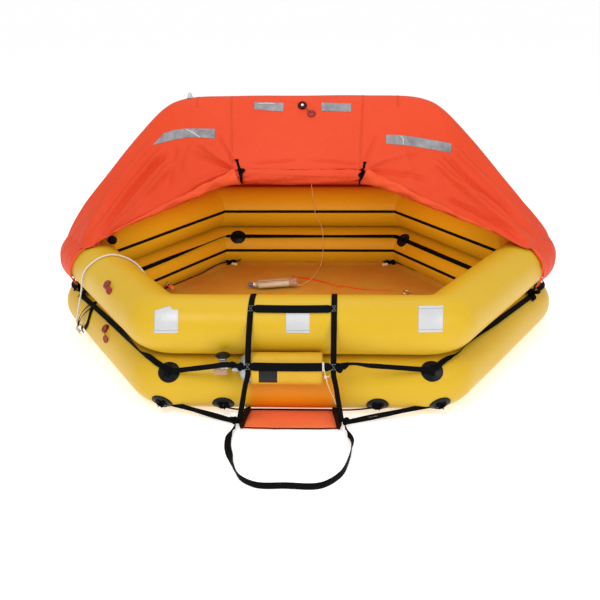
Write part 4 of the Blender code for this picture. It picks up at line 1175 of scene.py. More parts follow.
@dataclass
class Canopy:
    """The canopy: one sheet from the tube behind over the arch to the hem in front.

    Knots run from the right corner to the middle, and the left half mirrors them. The
    hems' tails are pairs of share along the side and degrees round the tube.
    """

    wrap_degrees: float = 50.0
    skirt: float = 0.1325
    door: Point = (0.29, -0.3, 0.87)
    hem_outer: Point = (1.01, -0.243, 0.515)
    hem_gain: float = 1.18
    hem_tails: tuple[Pairs, Pairs] = (
        ((0.275, 90), (0.262, 66), (0.245, 40), (0.235, 20), (0.232, 2), (0.214, -16), (0.2, -36)),
        ((0.25, 90), (0.236, 66), (0.222, 38), (0.222, 18), (0.23, 0), (0.236, -16), (0.225, -36)),
    )
    thickness: float = 0.0016
    edge_degrees: Pair = (42.0, 60.0)
    skirt_low: float = -48.0
    skirt_steps: int = 24
    fold_gain: float = 1.35
    back_gain: float = 0.8
    merge: float = 0.0012
    seam_low: float = 0.45
    seams: tuple = ((-0.338, 0.02, -0.315), (0.295, -0.022, -0.315), (-0.5, 0.01, -0.065), (0.46, -0.01, -0.065))
    share_of_square: float = 0.8
    columns: int = 144
    behind: int = 46
    before: int = 88
    ridge: tuple = ((1.212, 0.495, 0.02), (1.172, 0.553, 0.03), (1.083, 0.662, 0.045), (0.983, 0.776, 0.055),
                    (0.853, 0.925, 0.0668), (0.763, 1.02, 0.0668), (0.72, 1.063, 0.0668),
                    (0.678, 1.1, 0.0668), (0.632, 1.13, 0.0668), (0.575, 1.15, 0.0668),
                    (0.3, 1.165, 0.0668), (0.0, 1.165, 0.0668))
    back_positions: tuple = (0.034, 0.068, 0.26, 0.46, 0.73, 0.932, 0.966, 1.0, 1.034, 1.068, 1.24, 1.5)
    front_positions: tuple = (-0.034, -0.068, -0.26)
    hem_shares: tuple = (0.19, 0.345, 0.5, 0.59, 0.68, 0.77, 0.87, 1.0)
    folds: tuple[Fold, ...] = (
        Fold(((160, 137), (140, 158), (112, 196), (84, 236), (76, 262)), 2.7, 0.016),
        Fold(((170, 150), (148, 172), (118, 208), (92, 240), (80, 262)), 2.5, -0.016),
        Fold(((176, 158), (160, 180), (134, 208), (104, 236), (84, 258)), 2.9, 0.019),
        Fold(((166, 146), (130, 188), (98, 230), (78, 262)), 2.2, 0.014),
        Fold(((152, 190), (128, 212), (100, 236), (82, 254)), 2.2, -0.014),
        Fold(((218, 190), (180, 203), (140, 219), (100, 240), (78, 262)), 2.0, -0.014),
        Fold(((236, 168), (222, 160), (206, 148), (190, 138)), 1.7, 0.014),
        Fold(((236, 170), (216, 162), (200, 156), (184, 152)), 1.9, -0.011),
        Fold(((234, 172), (214, 176), (196, 184), (180, 196)), 2.2, 0.011),
        Fold(((232, 176), (210, 184), (190, 194), (168, 206)), 1.7, -0.011),
        Fold(((235, 165), (224, 148), (214, 130)), 1.9, -0.0081),
        Fold(((196, 142), (188, 158), (184, 178)), 3.1, 0.0081),
        Fold(((176, 146), (170, 170), (166, 194)), 3.4, -0.0081),
        Fold(((448, 142), (462, 158), (490, 186), (520, 216), (546, 248)), 2.7, 0.016),
        Fold(((440, 150), (468, 178), (498, 204), (528, 232), (548, 256)), 2.5, -0.016),
        Fold(((428, 156), (454, 182), (484, 206), (516, 232), (544, 258)), 2.9, 0.019),
        Fold(((444, 196), (474, 210), (506, 228), (536, 250)), 2.2, -0.014),
        Fold(((452, 180), (484, 198), (516, 222), (546, 252)), 2.0, 0.014),
        Fold(((366, 168), (384, 160), (404, 154), (430, 150)), 1.9, 0.011),
        Fold(((366, 172), (388, 172), (412, 176), (440, 184)), 2.2, -0.011),
        Fold(((366, 175), (384, 182), (404, 190), (432, 202)), 1.9, 0.011),
        Fold(((365, 165), (372, 148), (380, 128)), 2.0, -0.0081),
        Fold(((402, 150), (408, 168), (416, 188)), 3.4, 0.0081),
        Fold(((300, 160), (270, 162), (244, 165)), 1.4, -0.0081),
        Fold(((362, 165), (330, 161), (300, 160)), 1.4, -0.0081),
    )

    def half(self, side: int) -> tuple[np.ndarray, ...]:
        """Read the knots of the right half at even columns.

        Args:
            side: 1 for the half behind the ridge, -1 for the one in front.

        Returns:
            Ridge points, ways out there, wrap radii, edge points and the edge's
            positions along the tube, with nan where the hem is free.
        """
        first, last_degrees = self.edge_degrees
        top = HULL.spot(0.0, first, self.skirt, HULL.upper)
        ridge = np.array([(top[0], top[2], 0.0)] + list(self.ridge))
        hem = []
        if side > 0:
            places = np.array((0.0,) + self.back_positions)
        else:
            places = np.array((0.0,) + self.front_positions)
            outer, inner = np.array(self.hem_outer), np.array(self.door)
            hem = [outer + (inner - outer) * share for share in self.hem_shares]
            hem.append(np.array([0.0, self.door[1], self.door[2]]))
        knots = np.concatenate([[0.0], np.cumsum(np.linalg.norm(np.diff(ridge[:, :2], axis=0), axis=1) + 0.03)])
        where = np.linspace(0, knots[-1], self.columns)
        line = smooth(ridge, where, knots=knots)
        flat = np.stack([line[:, 0], np.zeros(len(line)), line[:, 1]], -1)
        along = unit(np.gradient(flat, axis=0))
        out = np.stack([-along[:, 2], np.zeros(len(line)), along[:, 0]], -1)
        out *= np.where(out[:, 2:] < 0, -1, 1)
        out = unit(out * ease(where, -1, 0.01)[:, None])
        out[-1] = UP
        last = len(places) - 1
        edges, positions = [], []
        ends = [HULL.spot(p, last_degrees, self.skirt, HULL.upper) for p in places] + hem
        free = smooth(ends, where, knots=knots)
        for index, place in enumerate(where):
            if place <= knots[last] + 1e-9:
                position = float(smooth(places, [place], knots=knots[:last + 1])[0])
                start = first + (last_degrees - first) * min(1.0, place / knots[1])
                edges.append(HULL.spot(position, start, self.skirt, HULL.upper))
                positions.append(position)
            else:
                edges.append(free[index])
                positions.append(math.nan)
        return flat, out, line[:, 2], np.array(edges), np.array(positions)

    def panel(self, side: int) -> tuple[np.ndarray, np.ndarray]:
        """Lay out the points of the right half on one side of the ridge.

        Args:
            side: 1 for behind, -1 for in front.

        Returns:
            The points by columns and rows, and the positions of the columns.
        """
        flat, out, wraps, edges, positions = self.half(side)
        bend, rows = (10, self.behind) if side > 0 else (14, self.before)
        result = np.empty((self.columns, rows, 3))
        for index in range(self.columns):
            middle = flat[index] - out[index] * wraps[index]
            arc = np.radians(np.linspace(0, self.wrap_degrees, bend))
            turn = out[index] * np.cos(arc)[:, None] + vec(0.0, side, 0.0) * np.sin(arc)[:, None]
            curved = middle + turn * wraps[index]
            share = np.linspace(0, 1, rows - bend + 1)[1:, None]
            straight = curved[-1] + (edges[index] - curved[-1]) * share
            result[index] = np.concatenate([curved, straight])
        return result, positions

    def skirt_rows(self, positions: np.ndarray, lows: np.ndarray) -> np.ndarray:
        """Lay out the cloth that hugs the tube below the edge.

        Args:
            positions: Where the columns stand along the tube.
            lows: The lowest angle of each column.

        Returns:
            The points by columns and rows.
        """
        first, last = self.edge_degrees
        result = []
        for index, (position, low) in enumerate(zip(positions, lows)):
            start = first + (last - first) * min(1.0, index / 4)
            angles = start + (low - start) * np.linspace(0, 1, self.skirt_steps + 1)[1:]
            result.append([HULL.spot(position, a, self.skirt, HULL.upper) for a in angles])
        return np.array(result)

    def dressed(self, points: np.ndarray, front: bool) -> np.ndarray:
        """Push the cloth in and out into its folds.

        Args:
            points: A grid of points, already leaning.
            front: Whether the folds of the photograph apply.

        Returns:
            The moved points.
        """
        across = np.gradient(points, axis=0)
        down = np.gradient(points, axis=1)
        ways = unit(np.cross(across, down))
        middle = vec(0.0, 0.3, 0.45)
        ways = ways * np.where(np.sum(ways * (points - middle), -1, keepdims=True) < 0, -1, 1)
        pixels = CAMERA.project(points if front else points * vec(1.0, -1.0, 1.0))
        away = np.abs(points[..., 1])
        free = ease(away, 0.02, 0.12) * ease(points[..., 2], 0.44, 0.56)
        lift = ripple(points, 0.3, 11) * 0.0035 * free
        lift = lift + ripple(points * vec(1.0, 1.0, 0.35), 0.085, 12) * 0.0012 * free
        gain = self.fold_gain * (1.0 if front else self.back_gain)
        for fold in self.folds:
            lift = lift + fold.lift(pixels) * gain * ease(away, 0.01, 0.09)
        gather = np.exp(-((np.abs(points[..., 0]) - 1.16) / 0.16) ** 2) * ease(0.62 - points[..., 2], 0.0, 0.12)
        angle = np.arctan2(points[..., 2] - HULL.upper, np.abs(points[..., 0]) - 1.02)
        lift = lift + np.sin(points[..., 1] * 95 + angle * 2.0) * 0.0028 * gather * ease(away, 0.02, 0.1)
        return points + ways * lift[..., None]

    def sheet(self) -> Item:
        verts, faces = [], []
        total = 0
        for side in (1, -1):
            panel, positions = self.panel(side)
            on_tube = int(np.sum(~np.isnan(positions)))
            low = self.skirt_low
            lows = np.full(on_tube, low)
            if side < 0:
                share = np.linspace(0, 1, on_tube)
                lows = smooth([low, low, -44, -20, 12, 59], share, knots=[0, 0.6, 0.76, 0.84, 0.93, 1.0])
            skirt = self.skirt_rows(positions[:on_tube], lows)
            for part in (panel, np.concatenate([panel[:on_tube, -1:], skirt], axis=1)):
                for mirror in (1.0, -1.0):
                    points = lean(part * vec(mirror, 1.0, 1.0))
                    points = self.dressed(points, side < 0)
                    verts.append(points.reshape(-1, 3))
                    for face in grid_faces(*points.shape[:2]):
                        faces.append(tuple(total + corner for corner in face))
                    total += points.shape[0] * points.shape[1]
        item = place_mesh("canopy_sheet", np.concatenate(verts), faces, None, UP, 180)
        with edited(item.data) as shape:
            bmesh.ops.remove_doubles(shape, verts=shape.verts, dist=self.merge)
            bmesh.ops.dissolve_degenerate(shape, edges=shape.edges, dist=0.0002)
            bmesh.ops.smooth_vert(shape, verts=shape.verts, factor=0.5, use_axis_x=True, use_axis_y=True,
                                  use_axis_z=True)
            turn_outwards(shape, UP)
            self.area = sum(face.calc_area() for face in shape.faces)
        item.data.shade_smooth()
        thicken(item, self.thickness)
        return item

    def hem(self) -> list[Item]:
        """Make the rolled, wrinkled hems from the door's two ends down to the corners."""
        pieces = []
        for side in (-1, 1):
            outer, inner = np.array(self.hem_outer), np.array(self.door)
            path = [inner + (outer - inner) * share for share in np.linspace(0, 0.97, 9)]
            tail = [HULL.spot(-share, angle, self.skirt + 0.003, HULL.upper)
                    for share, angle in self.hem_tails[side > 0]]
            points = np.array(path + tail)
            points[:, 0] *= side
            line = smooth(lean(points), step=0.006)
            share = np.linspace(0, 1, len(line))
            radius = 0.004 + 0.014 * (1 - ease(share, 0.08, 0.66)) + 0.0012 * np.sin(share * 31)
            radius += 0.013 * (1 - ease(share, 0.0, 0.12))
            angles = round_angles(20)
            knead = 1 + 0.2 * np.sin(angles[None] * 2 + share[:, None] * 31) * ease(1 - share, 0.2, 0.6)[:, None]
            knead += 0.1 * np.sin(angles[None] * 3 - share[:, None] * 58)
            ring = np.stack([np.cos(angles) * 0.75, np.sin(angles)], -1)
            radius *= self.hem_gain
            sections = ring[None] * (radius[:, None] * knead)[..., None]
            line[:, 2] -= radius * 0.55
            line[:, 1] -= radius * 0.8
            name = f"canopy_hem_{'left' if side < 0 else 'right'}"
            # The hems' lighter cloth is a painted highlight.
            pieces.append(finish(sweep(name, line, sections, guide=UP, sharp=180), Finishes.HEM_PAINTED_HIGHLIGHT, "canopy"))
        return pieces

    def build(self) -> None:
        """Make the sheet, its search tree, its hems and its seams."""
        self.cloth = self.sheet()
        finish(self.cloth, Finishes.CANOPY, "canopy", "canopy_left", "canopy_middle", "canopy_right")
        self.tree = surface_tree([self.cloth])
        self.pieces = self.hem()
        for number, (start, shift, first) in enumerate(self.seams):
            self.pieces.append(self.seam(self.tree, f"canopy_seam_{number}", start, shift, first))

    def declare(self, more: Sequence[Item]) -> None:
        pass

    def seam(self, tree: BVHTree, name: str, start: float, shift: float, first: float) -> Item:
        """Lay a flat felled seam over the canopy, from in front of the ridge to the skirt behind.

        Args:
            tree: The canopy's search tree.
            name: The piece's name.
            start: How far across it is at the ridge.
            shift: How much further across it is at the hem.
            first: How far back its front end is.

        Returns:
            The piece.
        """
        points = []
        for y in np.arange(first, 1.02, 0.006):
            x = start + shift * abs(min(y, 0)) / 0.3 - LEAN
            hit = tree.ray_cast(Vector((x, y, 3.0)), Vector((0, 0, -1)))
            if hit[0] is not None and hit[0].z > self.seam_low:
                points.append((*hit[0], *hit[1]))
        rows = np.array(points)
        path, ways = rows[:, :3], rows[:, 3:]
        ways = unit(ways + np.roll(ways, 3, 0) + np.roll(ways, -3, 0))
        path = path + ways * 0.0002
        item = sweep(name, path, strap_section(0.011, 0.0012, 6), guide=ways, sharp=180)
        return finish(item, Finishes.SEAM, "canopy")


def rope(name: str, path: np.ndarray, radius: float, kind: Finishes, slot: str, *nodes: str) -> Item:
    """Make a round cord along a path, with closed ends."""
    item = sweep(name, path, round_section(radius, 14), sharp=60)
    return finish(item, kind, slot, *nodes)


def ribbon(name: str, path: np.ndarray, guide: np.ndarray, width: float, thickness: float = 0.0022,
           turns: Pairs = (), widths: Pairs = ()) -> Item:
    """Make flat webbing along a path.

    Args:
        name: The object's name.
        path: The points of its middle line.
        guide: The ways that its face points, one or one for each point.
        width: Its width.
        thickness: Its thickness.
        turns: Pairs of share along it and degrees by which its face turns about it.
        widths: Pairs of share along it and how much of the width shows there.

    Returns:
        The object, without a finish.
    """
    share = np.linspace(0, 1, len(path))
    along, _, up = path_frames(path, guide)
    if turns:
        places, degrees = zip(*turns)
        angle = np.radians(np.interp(share, places, degrees))[:, None]
        up = up * np.cos(angle) + np.cross(along, up) * np.sin(angle)
    scale = np.ones(len(path))
    if widths:
        places, amounts = zip(*widths)
        scale = np.interp(share, places, amounts)
    sections = strap_section(width, thickness)[None] * np.stack([scale, np.ones_like(scale)], -1)[:, None]
    return sweep(name, path, sections, up, sharp=60)


def knot(name: str, place: np.ndarray, out: np.ndarray, size: float, width: float,
         tails: Sequence[tuple[Sequence[float], float]] = (), spin: float = 0.0,
         thickness: float = 0.0022) -> Item:
    """Tie webbing into a pulled-up overhand knot with loose ends.

    Args:
        name: The object's name.
        place: The knot's middle.
        out: The way that it stands off what it lies on.
        size: How far it reaches from its middle.
        width: The webbing's width.
        tails: Ways and lengths of the loose ends.
        spin: How far it is turned about out, in radians.
        thickness: The webbing's thickness.

    Returns:
        The joined object, without a finish.
    """
    out = unit(np.asarray(out, float))
    side = unit(np.cross(out, steady(out)))
    other = np.cross(out, side)
    t = np.linspace(0, math.tau, 73)[:-1]
    x = (np.sin(t) + 2 * np.sin(2 * t)) / 3 * size
    y = (np.cos(t) - 2 * np.cos(2 * t)) / 3 * size
    z = -np.sin(3 * t) * size * 0.3
    cos, sin = math.cos(spin), math.sin(spin)
    path = place + (x * cos - y * sin)[:, None] * side + (x * sin + y * cos)[:, None] * other + z[:, None] * out
    parts = [sweep(name, path, strap_section(width, thickness), guide=out, loop=True, sharp=60)]
    for number, (way, length) in enumerate(tails):
        way = unit(np.asarray(way, float))
        bend = np.cross(way, out) * length * 0.22
        line = smooth([place, place + way * length * 0.35 + out * size * 0.35 + bend * 0.6,
                       place + way * length * 0.72 + bend + out * size * 0.1,
                       place + way * length + bend * 0.3], step=0.004)
        turns = ((0.0, 0.0), (0.5, 35.0 if number % 2 else -30.0), (1.0, 70.0 if number % 2 else -50.0))
        parts.append(ribbon(f"{name}_tail_{number}", line, out, width, thickness, turns))
    return join(name, parts)


@dataclass
class Cords:
    """The three free cords: the painter, the lamp's lead and the ladder's cord."""

    painter: float = 0.004
    lead: float = 0.0015
    ring_share: float = 0.295
    ring_degrees: float = -10.4
    ring_radius: float = 0.016
    ring_wire: float = 0.0035
    wall: float = 0.8155
    pouch_share: float = 0.6235
    pouch_top: float = 0.345
    rung_front: float = -1.1568

    def ring_centre(self) -> np.ndarray:
        """Return the middle of the painter's ring."""
        reach = HULL.tube + self.ring_radius + self.ring_wire + 2 * GAP
        return HULL.spot(3 + self.ring_share, self.ring_degrees, reach, HULL.lower)

    def off(self, share: float, reach: float, height: float) -> np.ndarray:
        """Find a point beside the left front tube by its share, its reach outwards and its height."""
        centre, out = HULL.around(3 + share)
        return np.array([*(centre + out * reach), height])

    def painter_path(self) -> np.ndarray:
        """Return the painter's line: up from its ring, over the tube and down to the pouch."""
        ring = self.ring_centre()
        touch = math.radians(70)
        span = self.ring_radius + self.ring_wire + GAP
        reach = HULL.tube + self.ring_radius + self.ring_wire + 2 * GAP
        flat = reach * math.cos(math.radians(self.ring_degrees)) + span * math.cos(touch)
        points = [self.off(self.ring_share, flat, ring[2] + span * math.sin(touch))]
        hanging = ((0.3, 0.1555, 0.14), (0.315, 0.153, 0.168), (0.332, 0.147, 0.218), (0.36, 0.14, 0.284),
                   (0.378, 0.1345, 0.335))
        points += [self.off(*stop) for stop in hanging]
        lying = ((0.394, 14), (0.4066, 30), (0.424, 48), (0.436, 70), (0.448, 92), (0.467, 108), (0.484, 122),
                 (0.498, 135), (0.509, 147), (0.524, 157), (0.546, 163), (0.575, 166))
        reach = HULL.tube + self.painter + 0.0015
        points += [HULL.spot(3 + share, angle, reach, HULL.upper) for share, angle in lying]
        turning = ((0.5965, -0.1275, 0.4005), (0.6095, -0.1298, 0.395), (0.619, -0.1322, 0.3835),
                   (self.pouch_share, -0.134, 0.367), (self.pouch_share, -0.134, self.pouch_top + GAP))
        points += [self.off(*stop) for stop in turning]
        return smooth(points, step=0.006)

    def lead_path(self) -> np.ndarray:
        """Return the lead's line: from the inner lamp to the back wall and on to the battery."""
        shift, wall = -LEAN, self.wall
        floor = HULL.floor_top + self.lead + GAP
        return smooth([
            (shift, 0.0183, 1.034), (shift, 0.0263, 1.034), (shift + 0.003, 0.04, 1.022), (-0.008, 0.06, 0.995),
            (0.0, 0.12, 0.925), (0.008, 0.25, 0.8), (0.017, 0.42, 0.655), (0.025, 0.6, 0.525),
            (0.03, 0.74, 0.43), (0.033, 0.8, 0.382), (0.04, wall, 0.345), (0.062, wall, 0.305),
            (0.0746, wall, 0.2726), (0.08, wall, 0.235), (0.082, wall, 0.199), (0.0825, wall, 0.155),
            (0.0821, wall, 0.119), (0.079, wall - 0.001, 0.085), (0.074, 0.8, 0.055),
            (0.068, 0.776, floor + 0.002), (0.06, 0.735, floor), (0.045, 0.65, floor), (0.019, 0.553, floor),
            (-0.015, 0.47, floor), (-0.04, 0.422, floor + 0.003), (-0.054, 0.404, 0.047),
            (-0.0677, 0.404, 0.047),
        ], step=0.006)

    def ladder_path(self) -> np.ndarray:
        """Return the thin cord's line: from the lower rung down to the step's right end."""
        front = self.rung_front
        return smooth([
            (0.098, front - GAP, 0.284), (0.099, front - 0.001, 0.27), (0.104, front - 0.002, 0.245),
            (0.11, front, 0.215), (0.121, -1.135, 0.17), (0.137, -1.104, 0.115), (0.15, -1.084, 0.07),
            (0.158, -1.07, 0.045), (0.162, -1.058, 0.03), (0.163, -1.045, 0.022 + self.lead + GAP),
        ], step=0.004)

    def rung_loop(self, path: np.ndarray) -> Item:
        """Make the white loops that hold the ladder's cord to the rung, and its small knot."""
        turns = np.linspace(0, math.tau, 37)[:-1]
        parts = []
        for x in (0.0935, 0.0975):
            loop = np.stack([np.full_like(turns, x), self.rung_front + 0.003 + 0.0048 * np.cos(turns),
                             0.2785 + 0.0185 * np.sin(turns)], -1)
            parts.append(coat_item(sweep("rung_turn", loop, round_section(0.0019, 10), loop=True), Finishes.ROPE))
        place = path[np.argmin(np.abs(path[:, 2] - 0.236))]
        tails = (((0.7, -0.3, 0.5), 0.018), ((0.5, -0.4, -0.8), 0.014))
        tie = knot("cord_knot", place, vec(0.0, -1.0, 0.1), 0.0065, 0.0032, tails, 0.6, 0.0026)
        parts.append(coat_item(tie, Finishes.PINK))
        return finish(join("ladder_cord_ties", parts), Finishes.ROPE, "rope")

    def declare(self, name: str, path: np.ndarray, radius: float, kind: Finishes, lay: str,
                stiffness: str, pieces: Sequence = ()) -> Item:
        """Make one cord, both of whose ends go into the object.

        Args:
            name: The CAD node that it stands for.
            path: Its middle line.
            radius: Its radius.
            kind: Its finish.
            lay: How it lies; not used.
            stiffness: How stiff it is; not used.
            pieces: The separate pieces on it; not used.

        Returns:
            The piece.
        """
        item = rope(name + "_line", path, radius, kind, "rope", name)
        return item

    def build(self) -> None:
        """Make the three cords."""
        self.declare("painter_rope", self.painter_path(), self.painter, Finishes.ROPE, "loose", "medium")
        self.declare("lamp_lead", self.lead_path(), self.lead, Finishes.PINK, "hanging", "limp")
        path = self.ladder_path()
        self.declare("ladder_cord", path, self.lead, Finishes.PINK, "hanging", "limp", [self.rung_loop(path)])


@dataclass
class Ladder:
    """The boarding ladder: two straps, two rungs, the step, its stays and the stirrup."""

    strap: float = 0.0235
    rung: float = 0.036
    thickness: float = 0.003
    top: Pair = (-0.19, 0.14)
    crease: Pair = (-0.201, 0.136)
    foot: Pair = (-0.245, 0.17)
    front: float = -1.1538
    upper_degrees: float = 127.5
    lower_degrees: float = 198.0
    lower_height: float = 0.2785
    step_ends: Pair = (-0.229, 0.154)
    step_back: float = -1.006
    step_depth: float = 0.150
    band_ends: Pair = (-0.2453, 0.1703)
    stirrup_near: float = -1.158
    stirrup_far: float = -1.580
    stirrup_web: Pair = (0.0285, 0.0032)

    def upper_place(self, off: float) -> Pair:
        """Return the upper rung's y and z, this far off the tube."""
        angle = math.radians(self.upper_degrees)
        reach = HULL.tube + off
        return -HULL.front_y + reach * math.cos(angle), HULL.upper + reach * math.sin(angle) * HULL.squeeze

    def strap_x(self, side: int, degrees: float) -> float:
        """Return how far across a strap is at an angle round the upper tube."""
        share = min(1.0, (degrees - 75) / 120)
        return self.top[side] + (self.crease[side] - self.top[side]) * share

    def strap_path(self, side: int) -> tuple[np.ndarray, np.ndarray]:
        """Return the middle line of a strap and the way its face points."""
        reach = HULL.tube + 0.0021
        points, ways = [], []
        for degrees in (75, 90, 105, 120, 135, 148):
            angle = math.radians(degrees)
            points.append((self.strap_x(side, degrees), -HULL.front_y + reach * math.cos(angle),
                           HULL.upper + reach * HULL.squeeze * math.sin(angle)))
            ways.append((0, math.cos(angle), math.sin(angle)))
        x, foot = self.crease[side], self.foot[side]
        points += [(x, self.front + 0.009, 0.282), (x, self.front, 0.245),
                   (x + (foot - x) * 0.25, self.front + 0.001, 0.2),
                   (x + (foot - x) * 0.62, -1.145, 0.112), (foot, -1.135, 0.0235)]
        ways += [(0, -1, 0.3), (0, -1, 0.1), (0, -1, 0.0), (0, -1, 0.1), (0, -0.9, 0.35)]
        path = smooth(points, step=0.006)
        return path, smooth(ways, np.linspace(0, 10, len(path)), knots=range(11))

    def build_straps(self) -> None:
        """Make the two straps that hang over the front tube, with their turned-in tops."""
        for side, name in enumerate(("left", "right")):
            path, ways = self.strap_path(side)
            item = ribbon(f"ladder_web_{name}", path, ways, self.strap, self.thickness,
                          ((0, 0), (0.55, 0), (0.75, 10 - 20 * side), (1, 0)),
                          ((0, 1.0), (0.5, 1.0), (0.7, 0.86), (1, 0.95)))
            webbing(item, f"ladder_strap_{name}")
        angle = math.radians(self.upper_degrees)
        rungs = (("upper", *self.upper_place(0.0036), (0, math.cos(angle), math.sin(angle)), self.upper_degrees),
                 ("lower", self.front - 0.0012, self.lower_height, (0, -1, 0.05), self.lower_degrees))
        for name, y, z, way, degrees in rungs:
            left, right = self.strap_x(0, degrees) + 0.008, self.strap_x(1, degrees) - 0.008
            share = np.linspace(0, 1, 60)
            x = left + (right - left) * share
            sag = 0.0022 * (1 - (2 * share - 1) ** 2)
            path = np.stack([x, np.full_like(x, y), z - sag], -1)
            item = ribbon(f"rung_web_{name}", path, np.array(way), self.rung, self.thickness,
                          ((0, -8), (0.04, 0), (0.96, 0), (1, 8)), ((0, 0.7), (0.05, 1), (0.95, 1), (1, 0.7)))
            webbing(item, f"ladder_rung_{name}")

    def build_stitches(self) -> None:
        """Sew grey box stitches where the rungs meet the straps."""
        angle = math.radians(self.upper_degrees)
        crossings = (
            (self.upper_degrees, *self.upper_place(0.0056), np.array([0.0, math.sin(angle), -math.cos(angle)])),
            (self.lower_degrees, self.front - 0.0034, self.lower_height, UP),
        )
        wide, tall = 0.0085, 0.012
        lines = []
        for side in (0, 1):
            for degrees, y, z, rise in crossings:
                middle = np.array([self.strap_x(side, degrees), y, z])
                corners = ((-wide, -tall), (wide, tall), (-wide, tall), (wide, -tall), (-wide, -tall))
                lines.append(np.array([middle + (a, 0, 0) + rise * b for a, b in corners]))
        item = repeat_along("ladder_stitches", lines, thread_piece(0.0021, 0.00045), 0.003, Finishes.SQUARE)
        finish(item, Finishes.SQUARE, "webbing")

    def build_step(self) -> None:
        """Make the step's cloth panel with its sagging front edge and its curved end bands."""
        across = np.linspace(0, 1, 60)
        down = np.linspace(0, 1, 26)
        left, right = self.step_ends
        points = np.zeros((len(across), len(down), 3))
        sag = 1 - (2 * across - 1) ** 2
        for index, share in enumerate(down):
            points[:, index, 0] = left + (right - left) * across + (0.5 - across) * 0.004 * math.sin(share * 3)
            points[:, index, 1] = self.step_back - self.step_depth * share - 0.006 * sag * share
            places = np.stack([points[:, index, 0], np.full_like(across, share * 0.15), np.zeros_like(across)], -1)
            points[:, index, 2] = 0.0116 + 0.0012 * ripple(places, 0.09, 21)
        points[..., 2] += 0.0018 * np.sin(across[:, None] * math.pi) * np.sin(down[None] * math.pi)
        panel = grid("step_cloth", points, None, UP)
        thicken(panel, 0.0105, -1.0)
        finish(panel, Finishes.STEP, "canopy", "step_panel")
        edge = points[:, -1] + vec(0, -0.001, -0.004)
        finish(sweep("step_front_cord", edge, round_section(0.0026, 10)), Finishes.TAPE, "webbing")
        for side, name, x in zip((-1, 1), ("left", "right"), self.band_ends):
            line = smooth([(x - side * 0.026, -1.016, 0.02), (x - side * 0.024, -1.045, 0.021),
                           (x - side * 0.017, -1.095, 0.021), (x - side * 0.012, -1.145, 0.018),
                           (x - side * 0.014, -1.17, 0.013)], step=0.004)
            item = ribbon(f"step_band_{name}", line, vec(side * 0.25, -0.1, 1.0), 0.03, 0.009,
                          (), ((0, 0.85), (0.2, 1.0), (0.8, 0.9), (1, 0.5)))
            finish(item, Finishes.BROWN, "rubber", f"step_end_{name}")

    def build_stays(self) -> None:
        """Make the doubled straps that run from the outermost patches to the ladder's foot."""
        for side, name, foot in zip((-1, 1), ("left", "right"), self.foot):
            end_x = foot + side * 0.0156
            start, foot_end = vec(side * 0.548, -1.026, 0.047), vec(end_x, -1.118, 0.0115)
            points = [start, (start + foot_end) / 2, foot_end]
            path = smooth(points, step=0.008)
            twist = 12.0 if side > 0 else 0.0
            pair = []
            for shift, width in ((-0.0048, 0.0125), (0.0052, 0.0115)):
                line = path + vec(0.0, 0.25, 0.97) * shift
                line[:, 2] += 0.0014 * np.sin(np.linspace(0, 9, len(line)) + shift * 300)
                pair.append(ribbon(f"stay_{name}_{width}", line, vec(0, -0.95, 0.35), width, 0.0024,
                                   ((0, 0), (0.35, twist), (0.6, -twist), (1, 0))))
            webbing(join(f"ladder_stay_web_{name}", pair), f"ladder_stay_{name}")

    def build_stirrup(self) -> None:
        """Make the stirrup: flat beside the step, turning onto its edge along its far run."""
        beside = 0.015 + 2 * GAP + 0.002
        left, right = self.foot[0] - beside, self.foot[1] + beside
        near, far = self.stirrup_near, self.stirrup_far
        points = [(left + 0.004, near), (left - 0.012, -1.2), (left - 0.014, -1.28), (left + 0.012, -1.4),
                  (left + 0.032, -1.47), (left + 0.058, -1.53), (left + 0.112, far + 0.006), (-0.037, far),
                  (right - 0.092, far + 0.006), (right - 0.03, -1.51), (right + 0.006, -1.4),
                  (right + 0.019, -1.27), (right + 0.012, -1.2), (right - 0.004, near)]
        flat = smooth([(x, y, 0.0) for x, y in points], step=0.006)
        turns = ((0, 84), (0.03, 50), (0.06, 14), (0.17, 18), (0.25, 84), (0.3, 100), (0.4, 92), (0.6, 90),
                 (0.72, 84), (0.8, 90), (0.87, 92), (0.93, 20), (0.97, 48), (1, 84))
        places, degrees = zip(*turns)
        angle = np.radians(np.interp(np.linspace(0, 1, len(flat)), places, degrees))
        width, thickness = self.stirrup_web
        flat[:, 2] = (width * np.abs(np.sin(angle)) + thickness * np.abs(np.cos(angle))) / 2 + GAP
        item = ribbon("stirrup_web", flat, UP, width, thickness, turns)
        webbing(item, "stirrup_loop", body=Body.STIRRUP)

    def build_back_cord(self) -> None:
        """Run the black cord along the step's back edge between the two middle patches."""
        points = [(-0.318, -1.034, 0.034), (-0.27, -1.034, 0.024), (-0.2, -1.024, 0.0185), (-0.04, -1.022, 0.0175),
                  (0.13, -1.024, 0.0185), (0.21, -1.034, 0.024), (0.318, -1.034, 0.036)]
        finish(sweep("step_back_cord", smooth(points, step=0.008), round_section(0.0034, 10)), Finishes.TAPE,
               "webbing")

    def build_knots(self) -> None:
        """Tie the knots where the grab lines and stays meet the ladder."""
        knots = (
            ((-0.259, -1.127, 0.022), (0, -0.6, 0.8), 0.014, 0.011, (((-1, 0.25, 0.1), 0.03),), 0.4),
            ((0.185, -1.126, 0.023), (0, -0.6, 0.8), 0.014, 0.011, (((1, 0.35, 0.25), 0.035),), 1.1),
            ((-0.226, -1.16, 0.279), (0, -1, 0.1), 0.013, 0.012,
             (((-1, 0.1, 0.2), 0.05), ((-0.9, 0.1, -0.25), 0.04)), 0.2),
            ((0.16, -1.158, 0.277), (0, -1, 0.1), 0.016, 0.013,
             (((0.9, 0.1, 0.6), 0.04), ((0.8, 0.1, 0.1), 0.03)), 0.9),
        )
        parts = [knot(f"ladder_knot_{number}", np.array(place), *rest) for number, (place, *rest) in enumerate(knots)]
        webbing(join("ladder_knots", parts))

